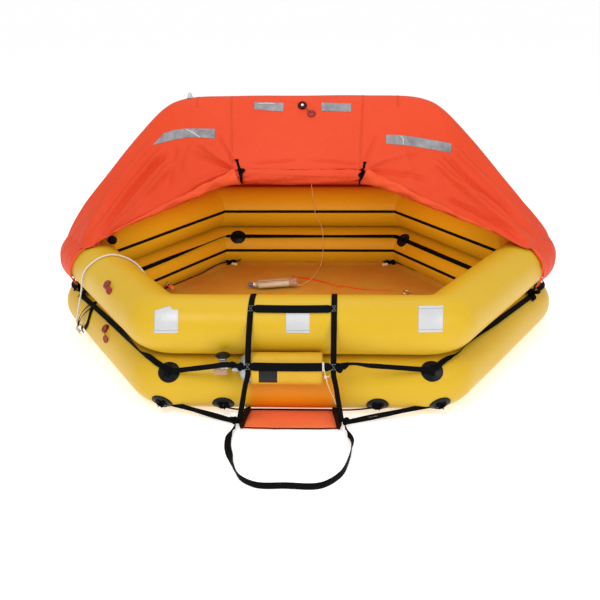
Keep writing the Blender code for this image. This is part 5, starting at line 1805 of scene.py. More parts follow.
    def build(self) -> None:
        """Make every piece of the ladder."""
        self.build_straps()
        self.build_stitches()
        self.build_step()
        self.build_stays()
        self.build_stirrup()
        self.build_back_cord()
        self.build_knots()


@dataclass
class Lines:
    """The grab lines outside, the hand line inside, and the straps at the sides.

    Each line has pairs of position and angle round the tube, the patches that hold it
    down, and the turns of its face. The two in front have their free points instead.
    """

    width: float = 0.025
    off: float = 0.0125
    sides: tuple = (
        ("left", ((3.18, 48), (3.235, 50), (3.455, 54), (3.72, 58), (3.99, 57), (4.03, 47), (4.045, 42)), (),
         ((0, 0), (0.55, 0), (0.72, 58), (0.84, 84), (0.9, 20), (1, 0))),
        ("right", ((4.957, 46), (4.98, 57), (5.01, 62), (5.1, 65), (5.245, 63), (5.495, 58), (5.82, 51)), (),
         ((0, 0), (0.08, -15), (0.18, -80), (0.36, -52), (0.55, 0), (1, 0))),
        ("back", ((-0.1, 52), (0.4, 39), (1.07, 31), (1.93, 31), (2.6, 39), (3.1, 52)), (1.07, 1.93),
         ((0, 0), (0.12, 60), (0.2, 10), (0.5, -50), (0.7, 0), (0.85, 70), (1, 0))),
    )
    fronts: tuple = (
        ("left", 4.052, 37, ((-0.285, -1.146, 0.281), (-0.252, -1.154, 0.282), (-0.218, -1.159, 0.279)),
         ((0, 0), (0.3, -20), (0.7, 30), (1, 10)), ((0, 1), (0.6, 1), (0.75, 1.25), (1, 0.8))),
        ("right", 4.948, 42, ((0.15, -1.158, 0.279), (0.175, -1.153, 0.286), (0.195, -1.148, 0.288)),
         ((0, -10), (0.2, 30), (0.5, -15), (1, 0)), ((0, 1.2), (0.14, 0.55), (0.35, 0.9), (1, 1))),
    )

    def route(self, angles: Pairs, patches: Sequence[float] = (),
              off: float = 0.0) -> tuple[np.ndarray, np.ndarray]:
        """Lay a line along the lower tube.

        Args:
            angles: Pairs of position and angle round the section, from its start to its end.
            patches: Positions where it is pulled down onto a patch.
            off: How far it stands off the tube between them, or 0 for the usual.

        Returns:
            The points and the ways off the tube.
        """
        places, degrees = zip(*angles)
        start, end = places[0], places[-1]
        stops = HULL.walk(start, end, 0.02, 10)
        points, ways = [], []
        for stop in stops:
            angle = float(np.interp(stop, places, degrees))
            near = min([abs(stop - patch) for patch in (*patches, start, end)])
            lift = 0.0075 + ((off or self.off) - 0.0075) * float(ease(np.array(near), 0.0, 0.07))
            points.append(HULL.spot(stop, angle, HULL.tube + lift, HULL.lower))
            ways.append(HULL.normal(stop, angle))
        return np.array(points), np.array(ways)

    def build_outside(self) -> None:
        """Make the grab lines with their half twists."""
        for name, angles, patches, turns in self.sides:
            path, ways = self.route(angles, patches)
            webbing(ribbon(f"grab_web_{name}", path, ways, self.width, turns=turns), f"grab_line_{name}")
        for name, position, degrees, stops, turns, widths in self.fronts:
            seat = HULL.spot(position, degrees, HULL.tube + 0.01, HULL.lower)
            free = [np.array(stop) for stop in stops]
            if name == "left":
                points = [seat + (free[0] - seat) * share for share in (0, 0.25, 0.5, 0.75)] + free
            else:
                points = free + [free[-1] + (seat - free[-1]) * share for share in (0.25, 0.5, 0.75, 1)]
            line = ribbon(f"grab_web_front_{name}", smooth(points, step=0.008), vec(0, -0.9, 0.4),
                          self.width * 0.85, turns=turns, widths=widths)
            webbing(line, f"grab_line_front_{name}")

    def build_inside(self) -> None:
        """Make the hand line that runs round the inside between its patches."""
        start, stop, angle = -0.885, 4.12, 140
        path, ways = self.route(((start, angle), (stop, angle)), (start, 0.885, 1.88, stop), 0.009)
        turns = ((0, 0), (0.06, 20), (0.2, 0), (0.33, -15), (0.36, 0), (0.45, 30), (0.545, 0), (0.57, 70),
                 (0.62, 64), (0.68, 10), (0.8, 0), (1, 0))
        webbing(ribbon("hand_web", path, ways, 0.024, turns=turns), "hand_line")

    def build_side_ties(self) -> None:
        """Make the straps at the canopy's side corners, and the bows that tie them."""
        outside = 0.1325 + 0.003 + 0.0021
        on_lower = HULL.tube + 0.0027
        for name, side in (("left", 3), ("right", 5)):
            shares = (0.215, 0.21, 0.205, 0.175, 0.17)
            places = [side + (share if side == 3 else 1 - share) for share in shares]
            points = [HULL.spot(p, a, outside, HULL.upper) for p, a in zip(places, (-36, -48, -54))]
            points += [HULL.spot(p, a, on_lower, HULL.lower) for p, a in zip(places[3:], (67, 57))]
            ways = [HULL.normal(p, a) for p, a in zip(places, (-36, -48, -20, 40, 57))]
            path = smooth(points, step=0.005)
            guide = smooth(ways, np.linspace(0, 4, len(path)), knots=range(5))
            item = ribbon(f"side_tie_web_{name}", path, guide, 0.017, 0.0022)
            webbing(item, f"side_tie_{name}")
            sign = -1 if side == 3 else 1
            middle = HULL.spot(places[2] + 0.01 * sign, 55, HULL.tube + 0.016, HULL.lower)
            out = HULL.normal(places[2], 40)
            tails = (((sign * 0.2, -0.3, 1.0), 0.07), ((sign * 0.1, -0.2, -1.0), 0.058),
                     ((-sign * 0.8, -0.5, 0.5), 0.062), ((sign * 0.9, -0.3, 0.4), 0.045))
            webbing(knot(f"side_bow_{name}", middle, out, 0.027, 0.02, tails, 0.5))

    def build(self) -> None:
        """Make every line."""
        self.build_outside()
        self.build_inside()
        self.build_side_ties()


def strike(tree: BVHTree, x: float, y: float, lift: float = 0.0) -> tuple[np.ndarray, np.ndarray]:
    """Find where the line of sight through a pixel first meets a surface.

    Args:
        tree: The surface's search tree.
        x: The pixel's place across the frame.
        y: Its place down the frame.
        lift: How far off the surface the point is.

    Returns:
        The point and the way out of the surface.
    """
    start, way = CAMERA.ray(x, y)
    spot, out, *_ = tree.ray_cast(start, way)
    if spot is None:
        raise ValueError(f"nothing lies behind pixel {x}, {y}")
    out = -out if out.dot(way) > 0 else out
    return np.array(spot) + np.array(out) * lift, np.array(out)


def laid(tree: BVHTree, pixels: Pairs, lift: float) -> tuple[np.ndarray, np.ndarray]:
    """Lay a line of the frame on a surface, and return its points and the ways off the surface."""
    found = [strike(tree, x, y, lift) for x, y in smooth(pixels, step=0.8)]
    ways = np.array([way for _, way in found])
    padded = np.concatenate([ways[:1], ways, ways[-1:]])
    return np.array([point for point, _ in found]), unit(padded[:-2] + padded[1:-1] + padded[2:])


def decal(name: str, tree: BVHTree, top: Pairs, bottom: Pairs,
          kind: Finishes, lift: float = 0.0009, thickness: float = 0.0005, columns: int = 36, rows: int = 12,
          rough: float = 0.0) -> Item:
    """Lay a thin sheet on a surface, with its two long edges along lines of the frame.

    Args:
        name: The object's name.
        tree: The surface's search tree.
        top: The pixels along its upper edge.
        bottom: The pixels along its lower edge.
        kind: Its finish.
        lift: How far off the surface its underside is.
        thickness: Its thickness.
        columns: How many points it has across.
        rows: How many points it has down.
        rough: The height of its small creases.

    Returns:
        The sheet, without a body.
    """
    share = np.linspace(0, 1, columns)
    above = smooth(top, share, knots=np.linspace(0, 1, len(top)))
    below = smooth(bottom, share, knots=np.linspace(0, 1, len(bottom)))
    points, out = np.empty((columns, rows, 3)), np.zeros(3)
    for i in range(columns):
        for j, down in enumerate(np.linspace(0, 1, rows)):
            spot, way = strike(tree, *(above[i] + (below[i] - above[i]) * down), lift)
            points[i, j] = spot + way * rough * float(ripple(spot, 0.02, 31))
            out += way
    item = grid(name, points, None, unit(out))
    item.data.materials.append(kind.material())
    return thicken(item, thickness)


def disc(name: str, tree: BVHTree, position: float, degrees: float, radius: float, dome: float) -> Item:
    """Make a round rubber patch that follows the lower tube.

    Args:
        name: The object's name.
        tree: The lower tube's search tree.
        position: Where its middle is along the ring.
        degrees: Where its middle is round the section.
        radius: Its radius.
        dome: How much higher its middle is.

    Returns:
        The closed object, without a finish.
    """
    profile = ((1.0, -0.002), (1.0, 0.35), (0.975, 0.75), (0.93, 0.92), (0.86, 1.0), (0.78, 0.9), (0.7, 1.0),
               (0.5, 1.0), (0.42, 1.12), (0.34, 1.25), (0.2, 1.3))
    height, steps = 0.0048, 48
    middle, along, other, _ = patch_frame(position, degrees, HULL.tube)
    rows = []
    for share, rise in profile:
        row = []
        for turn in round_angles(steps):
            near, way, *_ = tree.find_nearest(
                Vector(middle + (along * math.cos(turn) + other * math.sin(turn)) * radius * share))
            row.append(np.array(near) + np.array(way) * (rise * height + dome * (1 - share * share)))
        rows.append(row)
    return grid(name, np.array(rows), None, None, False, True, True, sharp=40)


def patch_frame(position: float, degrees: float, reach: float) -> tuple[np.ndarray, ...]:
    """Return a point round the lower tube, with the ways along it, round it and out of it."""
    out = HULL.normal(position, degrees)
    _, flat = HULL.around(position)
    along = np.array([-flat[1], flat[0], 0.0])
    return HULL.spot(position, degrees, reach, HULL.lower), along, np.cross(out, along), out


@dataclass
class Patches:
    """The round rubber patches outside and inside, with the knots of webbing on them."""

    outer: tuple = (("front_left", 4.051, 37), ("front_right", 4.949, 42), ("back_left", 1.93, 30),
                    ("back_right", 1.07, 30))
    below: tuple = (4.028, 4.226, 4.774, 4.972)
    below_degrees: float = -35.0
    inner_degrees: float = 140.0
    inner_radius: float = 0.047
    inner: tuple = (("back_left", 1.88), ("back_right", 0.885), ("front_left", 4.12), ("front_right", 5.115))

    def keeper(self, name: str, position: float, degrees: float, turn: float, width: float = 0.026,
               reach: float = 0.022) -> Item:
        """Fold a short band over a patch's middle, for the line to run under."""
        middle, along, other, out = patch_frame(position, degrees, HULL.tube + 0.006)
        way = along * math.cos(turn) + other * math.sin(turn)
        stops = ((-1.0, 0.0), (-0.8, 0.002), (-0.45, 0.0075), (0.0, 0.0095), (0.45, 0.0075), (0.8, 0.002),
                 (1.0, 0.0))
        path = smooth([middle + way * a * reach + out * b for a, b in stops], step=0.003)
        return ribbon(name, path, out, width, 0.0022)

    def build(self, tree: BVHTree) -> None:
        """Make all the patches on the lower tube, whose search tree is given."""
        for name, position, degrees in self.outer:
            item = disc("outer", tree, position, degrees, PATCH_RADIUS, 0.0012)
            finish(item, Finishes.RUBBER, "rubber", f"grab_patch_{name}")
            item.name = f"grab_patch_{name}_disc"
            webbing(self.keeper(f"grab_keeper_{name}", position, degrees, 1.2))
        for number, position in enumerate(self.below, 1):
            item = disc(f"ballast_patch_disc_{number}", tree, position, self.below_degrees, PATCH_RADIUS, 0.001)
            finish(item, Finishes.RUBBER, "rubber", f"ballast_patch_{number}")
            bands = [self.keeper(f"cross_{number}_{turn}", position, self.below_degrees, turn, 0.018, 0.027)
                     for turn in (0.7, 2.4)]
            middle = HULL.spot(position, self.below_degrees + 2, HULL.tube + 0.0155, HULL.lower)
            out = HULL.normal(position, self.below_degrees)
            bands.append(knot(f"tuft_{number}", middle, out, 0.008, 0.01,
                              (((-0.5, -0.3, -0.3), 0.013), ((0.6, -0.2, -0.5), 0.012)), number * 0.8))
            webbing(join(f"ballast_tie_{number}", bands))
        for name, position in self.inner:
            item = disc("inner", tree, position, self.inner_degrees, self.inner_radius, 0.0008)
            finish(item, Finishes.RUBBER, "rubber", f"inner_patch_{name}")
            item.name = f"inner_patch_{name}_disc"


@dataclass
class Door:
    """The rolled-up doorway flap and the two black ties that hold it."""

    left: float = -0.3175
    right: float = 0.2865
    middle: Pair = (-0.302, 0.842)
    radius: float = 0.0325
    ties: Pair = (-0.287, 0.268)
    wrap_radius: float = 0.0345

    def roll(self) -> Item:
        """Make the roll: a wound sheet whose folds run along it, drawn in by its ties."""
        count, around = 150, 72
        share = np.linspace(0, 1, count)
        x = self.left + (self.right - self.left) * share
        line = np.stack([x, np.full(count, self.middle[0]), self.middle[1] - 0.004 * np.sin(share * math.pi)], -1)
        angles = round_angles(around)
        places = np.stack(np.broadcast_arrays(x[:, None] * 0.22, np.cos(angles)[None] * 0.05,
                                              np.sin(angles)[None] * 0.05), -1)
        reach = self.radius * (1 + 0.085 * ripple(places, 0.045, 41) + 0.035 * ripple(places * (4, 1, 1), 0.03, 42))
        for tie in self.ties:
            near = np.exp(-((x - tie) / 0.014) ** 2)[:, None]
            fan = np.exp(-((x - tie) / 0.05) ** 2)[:, None]
            reach = reach * (1 - 0.17 * near) + 0.003 * fan * np.sin(angles * 7 + x[:, None] * 40)
        lap = 0.0035 * ease(np.cos(angles - 2.2 - 0.25 * np.sin(x[:, None] * 7)), 0.8, 0.86)
        step = 0.003 * ease(np.sin(angles + 0.75 + 0.1 * np.sin(x[:, None] * 9)), 0.955, 0.985)
        ends = 0.62 + 0.38 * ease(np.minimum(share, 1 - share), 0.0, 0.03)
        reach = reach + lap - step
        sections = np.stack([-np.cos(angles)[None] * reach, np.sin(angles)[None] * reach], -1)
        return sweep("door_roll_cloth", line, sections * ends[:, None, None], guide=UP, sharp=180)

    def build(self) -> Item:
        """Make the roll and tie it.

        Returns:
            The roll.
        """
        item = self.roll()
        finish(item, Finishes.CANOPY, "canopy", "door_roll")
        fold_tree = surface_tree([item, bpy.data.objects["canopy_sheet"]])
        for name, bar, run, middle, tails, spin in (
                ("left", ((235.2, 160.2), (238.6, 160.2)), ((236.8, 160), (238.4, 165.5), (240.3, 171), (241.4, 176)),
                 (241.0, 171.6), (((0.35, -0.6, -0.9), 0.04), ((0.9, -0.5, 0.15), 0.016)), 0.7),
                ("right", ((363.0, 162.9), (366.4, 162.9)), ((364.6, 163), (363.6, 169), (362.4, 175), (361.6, 180)),
                 (362.4, 174.8), (((-0.12, -0.5, -1.0), 0.052),), 1.6)):
            path, ways = laid(fold_tree, run, 0.0016)
            parts = [ribbon(f"tie_{name}", path, ways, 0.0115, 0.002)]
            path, ways = laid(fold_tree, bar, 0.003)
            parts.append(ribbon(f"bar_{name}", path, ways, 0.0085, 0.003))
            spot, way = strike(fold_tree, *middle, 0.007)
            parts.append(knot(f"tie_knot_{name}", spot, way, 0.015, 0.01, tails, spin))
            x, (y, z) = self.ties[name == "right"], self.middle
            turns = np.radians(np.arange(-62, 243, 8))
            reach = self.wrap_radius
            wrap = np.stack([np.full(len(turns), x), y - reach * np.cos(turns), z + reach * np.sin(turns)], -1)
            parts.append(ribbon(f"wrap_{name}", wrap, wrap - vec(x, y, z), 0.0115, 0.002))
            webbing(join(f"door_tie_{name}", parts), f"door_strap_{name}")
        return item


@dataclass
class Markings:
    """The silver strips on the canopy and the white squares on the front tube."""

    strips: tuple = (
        ("ridge_left", ((254.3, 102.2), (283.9, 102.9)), ((254.3, 109.6), (283.3, 111.6)),
         (((258, 103.8), (268, 103.4), (275, 103.9)),)),
        ("ridge_right", ((321.4, 102.6), (351.4, 103.7)), ((321.6, 111.1), (351.0, 112.0)), ()),
        ("side_left", ((164.2, 133.1), (176.6, 129.6), (191.0, 128.5), (203.0, 128.6), (215.3, 129.0)),
         ((152.6, 145.1), (167.0, 141.6), (183.6, 138.1), (199.0, 137.7), (214.9, 138.8)),
         (((185.8, 129.2), (192.0, 132.2), (200.3, 137.4)),)),
        ("side_right", ((386.0, 134.7), (401.0, 135.3), (418.0, 137.6), (435.0, 140.4), (451.7, 143.5)),
         ((386.0, 143.8), (401.9, 145.1), (418.0, 147.2), (435.0, 150.0), (450.9, 153.0)),
         (((399.5, 135.6), (402.4, 138.0), (403.2, 144.9)),)),
    )
    squares: tuple = (
        (((154.8, 310.5), (162.0, 308.2), (170.0, 306.3), (172.2, 309.2), (178.3, 309.6)),
         ((154.2, 333.2), (160.0, 333.2), (166.0, 333.1), (172.0, 333.0), (178.0, 332.9)), (0.89,)),
        (((285.8, 305.9), (309.8, 306.1)), ((286.0, 333.0), (309.5, 333.2)), (0.1, 0.9)),
        (((418.6, 305.6), (443.4, 305.2)), ((418.3, 332.4), (442.8, 332.0)), (0.12, 0.9)),
    )

    def build(self, canopy: BVHTree, tube: BVHTree) -> list[Item]:
        """Lay the strips and squares.

        Args:
            canopy: The canopy's search tree.
            tube: The upper tube's search tree.

        Returns:
            The strips, which lie on the canopy's cloth.
        """
        made = []
        for name, top, bottom, creases in self.strips:
            strip = decal(f"strip_{name}", canopy, top, bottom, Finishes.MIRROR, 0.0011, 0.0004, 60, 14, 0.0004)
            made.append(finish(strip, Finishes.MIRROR, "canopy"))
            if creases:
                lines = []
                for number, crease in enumerate(creases):
                    path, ways = laid(canopy, crease, 0.0022)
                    lines.append(ribbon(f"crease_{number}", path, ways, 0.0042, 0.0008,
                                        widths=((0, 0.5), (0.2, 1), (0.9, 1), (1, 0.4))))
                made.append(finish(join(f"strip_{name}_creases", lines), Finishes.SQUARE, "canopy"))
        for number, (top, bottom, seams) in enumerate(self.squares):
            item = decal(f"square_{number}", tube, top, bottom, Finishes.SQUARE, 0.0003, 0.0007, 34, 34, 0.0001)
            finish(item, Finishes.SQUARE, "tube")
            lines = []
            for share in seams:
                ends = [np.array(top[i]) + (np.array(bottom[i]) - np.array(top[i])) * share for i in (0, -1)]
                path, ways = laid(tube, ends, 0.0013)
                lines.append(ribbon("line", path, ways, 0.0022, 0.0004))
            finish(join(f"square_{number}_seams", lines), Finishes.GREY, "tube")
        return made


@dataclass
class Valves:
    """The relief valves, the arch's valve and the lamps."""

    size: float = 1.14

    def tether(self, name: str, start: np.ndarray, end: np.ndarray, out: np.ndarray) -> Item:
        """Make the thin strap between a valve and its cap."""
        path = smooth([start, (start + end) / 2 + out * 0.004, end], step=0.002)
        return coat_item(ribbon(name, path, out, 0.0045, 0.0014), Finishes.CAP)

    def relief(self, name: str, share: float, level: float, cap_px: Pair, tree: BVHTree) -> None:
        """Make a relief valve and its cap on the left side.

        Args:
            name: The CAD node that the valve stands for.
            share: Its share along the side.
            level: The height of its tube.
            cap_px: Where its cap shows in the frame.
            tree: The tubes' search tree.
        """
        out = HULL.normal(3 + share, 37.5)
        place = HULL.spot(3 + share, 37.5, HULL.tube + 0.0004, level)
        body = [(0.0, 0.0068), (0.0045, 0.0075), (0.006, 0.009), (0.0095, 0.0092), (0.0108, 0.0078),
                (0.012, 0.01), (0.0152, 0.01), (0.0176, 0.0072), (0.0188, 0.003), (0.0188, 0.0), (0.0, 0.0)]
        body = [(reach * self.size, rise * self.size) for reach, rise in body]
        parts = turned(place, out, (Finishes.RED, body, 40))
        spot, way = strike(tree, *cap_px, 0.0006)
        tilt = unit(way + vec(0.25, -0.1, -0.35))
        cap = [(0.0, 0.0035), (0.0085, 0.0035), (0.0105, 0.005), (0.015, 0.005), (0.0165, 0.003), (0.0158, 0.0),
               (0.0, 0.0)]
        cap = [(reach * self.size, rise * self.size) for reach, rise in cap]
        parts += turned(spot + way * 0.004, tilt, (Finishes.CAP, cap, 36))
        parts.append(self.tether(name + "_tether", place + out * 0.004, spot + way * 0.004, out))
        finish(join(name + "_body", parts), Finishes.RED, "valve_red", name)

    def arch_valve(self, tree: BVHTree) -> None:
        """Make the arch's valve with its light middle, and its cap on a short strap."""
        spot, way = strike(tree, 302.4, 105.7, 0.0012)
        ring = [(0.0, 0.003), (0.0075, 0.003), (0.0095, 0.0085), (0.015, 0.01), (0.0185, 0.0088),
                (0.0212, 0.005), (0.0218, 0.0), (0.0, 0.0)]
        middle = [(0.0, 0.0075), (0.0065, 0.007), (0.0072, 0.0035), (0.0, 0.003)]
        parts = turned(spot, way, (Finishes.VALVE, ring, 48), (Finishes.WHITE, middle, 28))
        cap_spot, cap_way = strike(tree, 311.6, 113.8, 0.001)
        cap = [(0.0, 0.004), (0.0125, 0.0045), (0.015, 0.0062), (0.018, 0.0058), (0.02, 0.003), (0.02, 0.0),
               (0.0, 0.0)]
        parts += turned(cap_spot, cap_way, (Finishes.CAP, cap, 44))
        parts.append(self.tether("arch_tether", spot + way * 0.003, cap_spot + cap_way * 0.003, way))
        finish(join("arch_valve_body", parts), Finishes.VALVE, "rubber", "arch_valve")

    def lamps(self) -> None:
        """Make the frosted lamp on the ridge, and the one below the arch."""
        dome = [(0.0, 0.0286), (0.0055, 0.0282), (0.0078, 0.0262), (0.0092, 0.022), (0.0112, 0.014),
                (0.013, 0.007), (0.0142, 0.0046), (0.0, 0.0046)]
        base = [(0.0, 0.0042), (0.015, 0.0042), (0.0178, 0.002), (0.018, 0.0), (0.0, 0.0)]
        glass = [(0.0, 0.0155), (0.006, 0.015), (0.011, 0.012), (0.014, 0.0055), (0.0, 0.0052)]
        rim = [(0.0, 0.005), (0.015, 0.005), (0.0178, 0.003), (0.018, 0.0), (0.0, 0.0)]
        for name, clear, foot, place, way, steps in (
                ("ridge_lamp", dome, base, (-0.555, 0.0, 1.1545), (-0.0535, 0.0, 1.0), 40),
                ("inner_lamp", glass, rim, (-LEAN, 0.0, 1.0425), (0, 0, -1), 36)):
            parts = turned(place, way, (Finishes.LAMP, clear, steps), (Finishes.RUBBER, foot, steps))
            finish(join(name + "_body", parts), Finishes.LAMP, "clear_plastic", name)

    def build(self, canopy: BVHTree, tubes: BVHTree) -> None:
        """Make every valve and lamp."""
        self.relief("relief_valve_upper", 0.672, HULL.upper, (110.3, 290.8), tubes)
        self.relief("relief_valve_lower", 0.581, HULL.lower, (106.9, 339.3), tubes)
        self.arch_valve(canopy)
        self.lamps()


@dataclass
class Bottle:
    """The gas bottle in the crease, with its sleeve, its plain label and its valve."""

    radius: float = 0.0618
    left: float = -0.249
    right: float = 0.0925
    head: float = -0.3063
    y: float = -1.0868
    z: float = 0.2464
    drop: float = 0.007
    sleeve_ends: Pair = (-0.193, 0.092)
    sleeve_radius: float = 0.0646
    stitch_radius: float = 0.0651

    def build(self) -> None:
        """Make the bottle, the sleeve, the label and the valve."""
        length = self.right - self.left
        bulge = [(math.sin(t) * self.radius, 0.05 - math.cos(t) * 0.047) for t in np.linspace(0.27, 1.57, 14)]
        far = [(math.cos(t) * self.radius, length - 0.045 + math.sin(t) * 0.045) for t in np.linspace(0, 1.5708, 12)]
        profile = [(0.0, -0.02), (0.0155, -0.02), (0.016, -0.012), (0.016, 0.0015), *bulge, *far[:-1],
                   (0.0, length)]
        axis = (1.0, 0.0, 0.0)
        item = lathe("bottle_shell", profile, (self.left, self.y, self.z - self.drop), axis, 64)
        finish(item, Finishes.BOTTLE, "steel", "gas_bottle")
        self.sleeve()
        head = self.head
        body = [(0.0, 0.0), (0.0085, 0.0), (0.0125, 0.002), (0.013, 0.016), (0.01, 0.019), (0.01, 0.0215),
                (0.014, 0.0235), (0.014, 0.038), (0.0, 0.038)]
        parts = turned((head - 0.019, self.y, self.z), axis, (Finishes.STEEL, body, 32))
        threads = [(0.0, -0.006), (0.015, -0.006)]
        for turn in range(7):
            threads += [(0.0172, -0.001 + turn * 0.0054), (0.0142, 0.0017 + turn * 0.0054)]
        threads += [(0.016, 0.0385), (0.016, 0.0402), (0.0, 0.0402)]
        parts += turned((head, self.y, self.z), UP, (Finishes.STEEL, threads, 36))
        block = tidy_box("valve_block", (head - 0.037, self.y - 0.015, self.z - 0.033),
                         (head + 0.018, self.y + 0.013, self.z - 0.006), 0.004)
        parts.append(coat_item(block, Finishes.TAN))
        finish(join("bottle_valve_head", parts), Finishes.STEEL, "steel", "bottle_valve")
        knob = [(0.0, 0.0), (0.012, 0.0), (0.0205, 0.0015), (0.029, 0.0045), (0.031, 0.0075), (0.0295, 0.0108),
                (0.0205, 0.015), (0.0105, 0.0172), (0.0, 0.0178)]
        item = lathe("valve_cap", knob, (head, self.y, self.z + 0.0405), UP, 40, 60)
        finish(item, Finishes.RUBBER, "rubber", "bottle_valve_knob")

    def sleeve(self) -> None:
        """Make the loose sleeve with its stitched ends, and a plain dark label on it."""
        x = np.linspace(*self.sleeve_ends, 90)
        angles = round_angles(96)
        places = np.stack(np.broadcast_arrays(x[:, None] * 0.6, np.cos(angles)[None] * 0.06,
                                              np.sin(angles)[None] * 0.06), -1)
        reach = self.sleeve_radius + 0.0007 * ripple(places, 0.05, 51)
        edge = ease(np.minimum(x - x[0], x[-1] - x), 0.0, 0.004)
        reach = reach * (0.972 + 0.028 * edge[:, None])
        path = np.stack([x, np.full_like(x, self.y), np.full_like(x, self.z - self.drop)], -1)
        sections = np.stack([np.cos(angles) * reach, np.sin(angles) * reach], -1)
        item = sweep("bottle_sleeve_cloth", path, sections, guide=UP, sharp=60)
        finish(item, Finishes.SLEEVE, "tube", "bottle_sleeve")
        tree = surface_tree([item])
        label = decal("bottle_label", tree, ((258.6, 368.4), (277.2, 368.6)), ((258.8, 382.3), (277.2, 382.6)),
                      Finishes.LABEL, 0.0002, 0.0003, 24, 20)
        finish(label, Finishes.LABEL, "webbing")
        rings = []
        for place in (-0.187, 0.087):
            angle = np.linspace(0, math.tau, 121)
            rings.append(np.stack([np.full_like(angle, place), self.y + self.stitch_radius * np.cos(angle),
                                   self.z - self.drop + self.stitch_radius * np.sin(angle)], -1))
        item = repeat_along("sleeve_stitches", rings, thread_piece(0.0028, 0.00045), 0.0042, Finishes.TAN)
        finish(item, Finishes.TAN, "tube")


@dataclass
class Painter:
    """The painter's ring, shackle, bridle and strap on the left, and the pouch for its end."""

    def build(self, cords: Cords) -> None:
        """Make the fittings and the pouch.

        Args:
            cords: The cords, which know where the ring is.
        """
        centre = cords.ring_centre()
        _, flat = HULL.around(3 + cords.ring_share)
        along = np.array([-flat[1], flat[0], 0.0])
        out = np.array([flat[0], flat[1], 0.0])
        turns = round_angles(40)
        circle = centre + (np.cos(turns)[:, None] * out + np.sin(turns)[:, None] * UP) * cords.ring_radius
        parts = [coat_item(sweep("ring", circle, round_section(cords.ring_wire, 12), guide=along, loop=True),
                           Finishes.STEEL)]
        arc = np.linspace(-0.4, math.pi + 0.4, 26)
        shackle = centre + out * 0.004 - UP * 0.02 + (np.cos(arc)[:, None] * along * 0.011
                                                      + np.sin(arc)[:, None] * UP * 0.016)
        parts.append(coat_item(sweep("shackle", shackle, round_section(0.0028, 10)), Finishes.STEEL))
        pin = np.stack([centre + out * 0.004 - UP * 0.026 + along * s for s in (-0.017, -0.006, 0.006, 0.017)])
        parts.append(coat_item(sweep("pin", pin, round_section(0.0026, 10)), Finishes.STEEL))
        thimble = centre + out * 0.01 + (np.cos(turns)[:, None] * along + np.sin(turns)[:, None] * UP) * 0.01
        parts.append(coat_item(sweep("thimble", thimble, round_section(0.003, 10), loop=True), Finishes.WHITE))
        finish(join("painter_ring_fittings", parts), Finishes.STEEL, "steel", "painter_ring")
        self.straps(centre, HULL.normal(3 + cords.ring_share, -10))
        self.pouch(cords)

    def straps(self, centre: np.ndarray, out: np.ndarray) -> None:
        """Make the wide strap that carries the ring, and the bridle's two thin ones.

        Args:
            centre: The ring's middle.
            out: The way out of the tube there.
        """
        stops = smooth([(3.332, 62, 0), (3.36, 42, 0), (3.378, 26, 0), (3.372, 9, 0), (3.322, -10.4, 0)],
                       np.linspace(0, 4, 40), knots=range(5))
        positions, angles = stops[:, 0], stops[:, 1]
        path = np.array([HULL.spot(p, a, HULL.tube + 0.0021, HULL.lower) for p, a in zip(positions, angles)])
        ways = np.array([HULL.normal(p, a) for p, a in zip(positions, angles)])
        parts = [ribbon("wide", path, ways, 0.027, 0.0026, widths=((0, 1), (0.7, 1), (1, 0.7)))]
        for stops in (((3.318, 46), (3.306, 26), (3.298, 8), (3.296, -4)), ((3.352, 45), (3.33, 24), (3.309, 6),
                                                                           (3.299, -5))):
            points = [HULL.spot(p, a, HULL.tube + 0.007 + 0.006 * i, HULL.lower) for i, (p, a) in enumerate(stops)]
            guide = HULL.normal(*stops[1])
            parts.append(ribbon("bridle", smooth(points, step=0.006), guide, 0.0085, 0.0022,
                                ((0, 0), (0.5, 25), (1, 60))))
        band = smooth([centre + (0.014, 0.004, 0.01), centre + (0.01, 0.0, -0.006), centre + (0.02, -0.006, -0.022)],
                      step=0.004)
        parts.append(ribbon("ring_fold", band, out, 0.022, 0.003))
        webbing(join("painter_webbing", parts), "painter_strap")

    def pouch(self, cords: Cords) -> None:
        """Make the pouch on the tube's inner side, with its flap and tab, for the painter's end."""
        base, flat = HULL.around(3 + cords.pouch_share)
        along = np.array([-flat[1], flat[0]])
        turn = Matrix(((-along[0], flat[0], 0, 0), (-along[1], flat[1], 0, 0), (0, 0, 1, 0), (0, 0, 0, 1)))
        place = Matrix.Translation((base[0], base[1], 0.0)) @ turn
        parts = []
        for name, low, high, bevel, kind in (
                ("pouch", (-0.0695, -0.1595, 0.2555), (0.0695, -0.106, 0.338), 0.01, Finishes.FLOOR),
                ("flap", (-0.0698, -0.16, 0.312), (0.0698, -0.1052, 0.3446), 0.008, Finishes.FLOOR),
                ("tab", (-0.01, -0.162, 0.3), (0.01, -0.159, 0.334), 0.0015, Finishes.WEBBING)):
            item = tidy_box(name, low, high, bevel)
            item.data.transform(place)
            if place.determinant() < 0:
                item.data.flip_normals()
            parts.append(coat_item(item, kind))
        finish(join("line_pouch_body", parts), Finishes.FLOOR, "floor", "line_pouch")


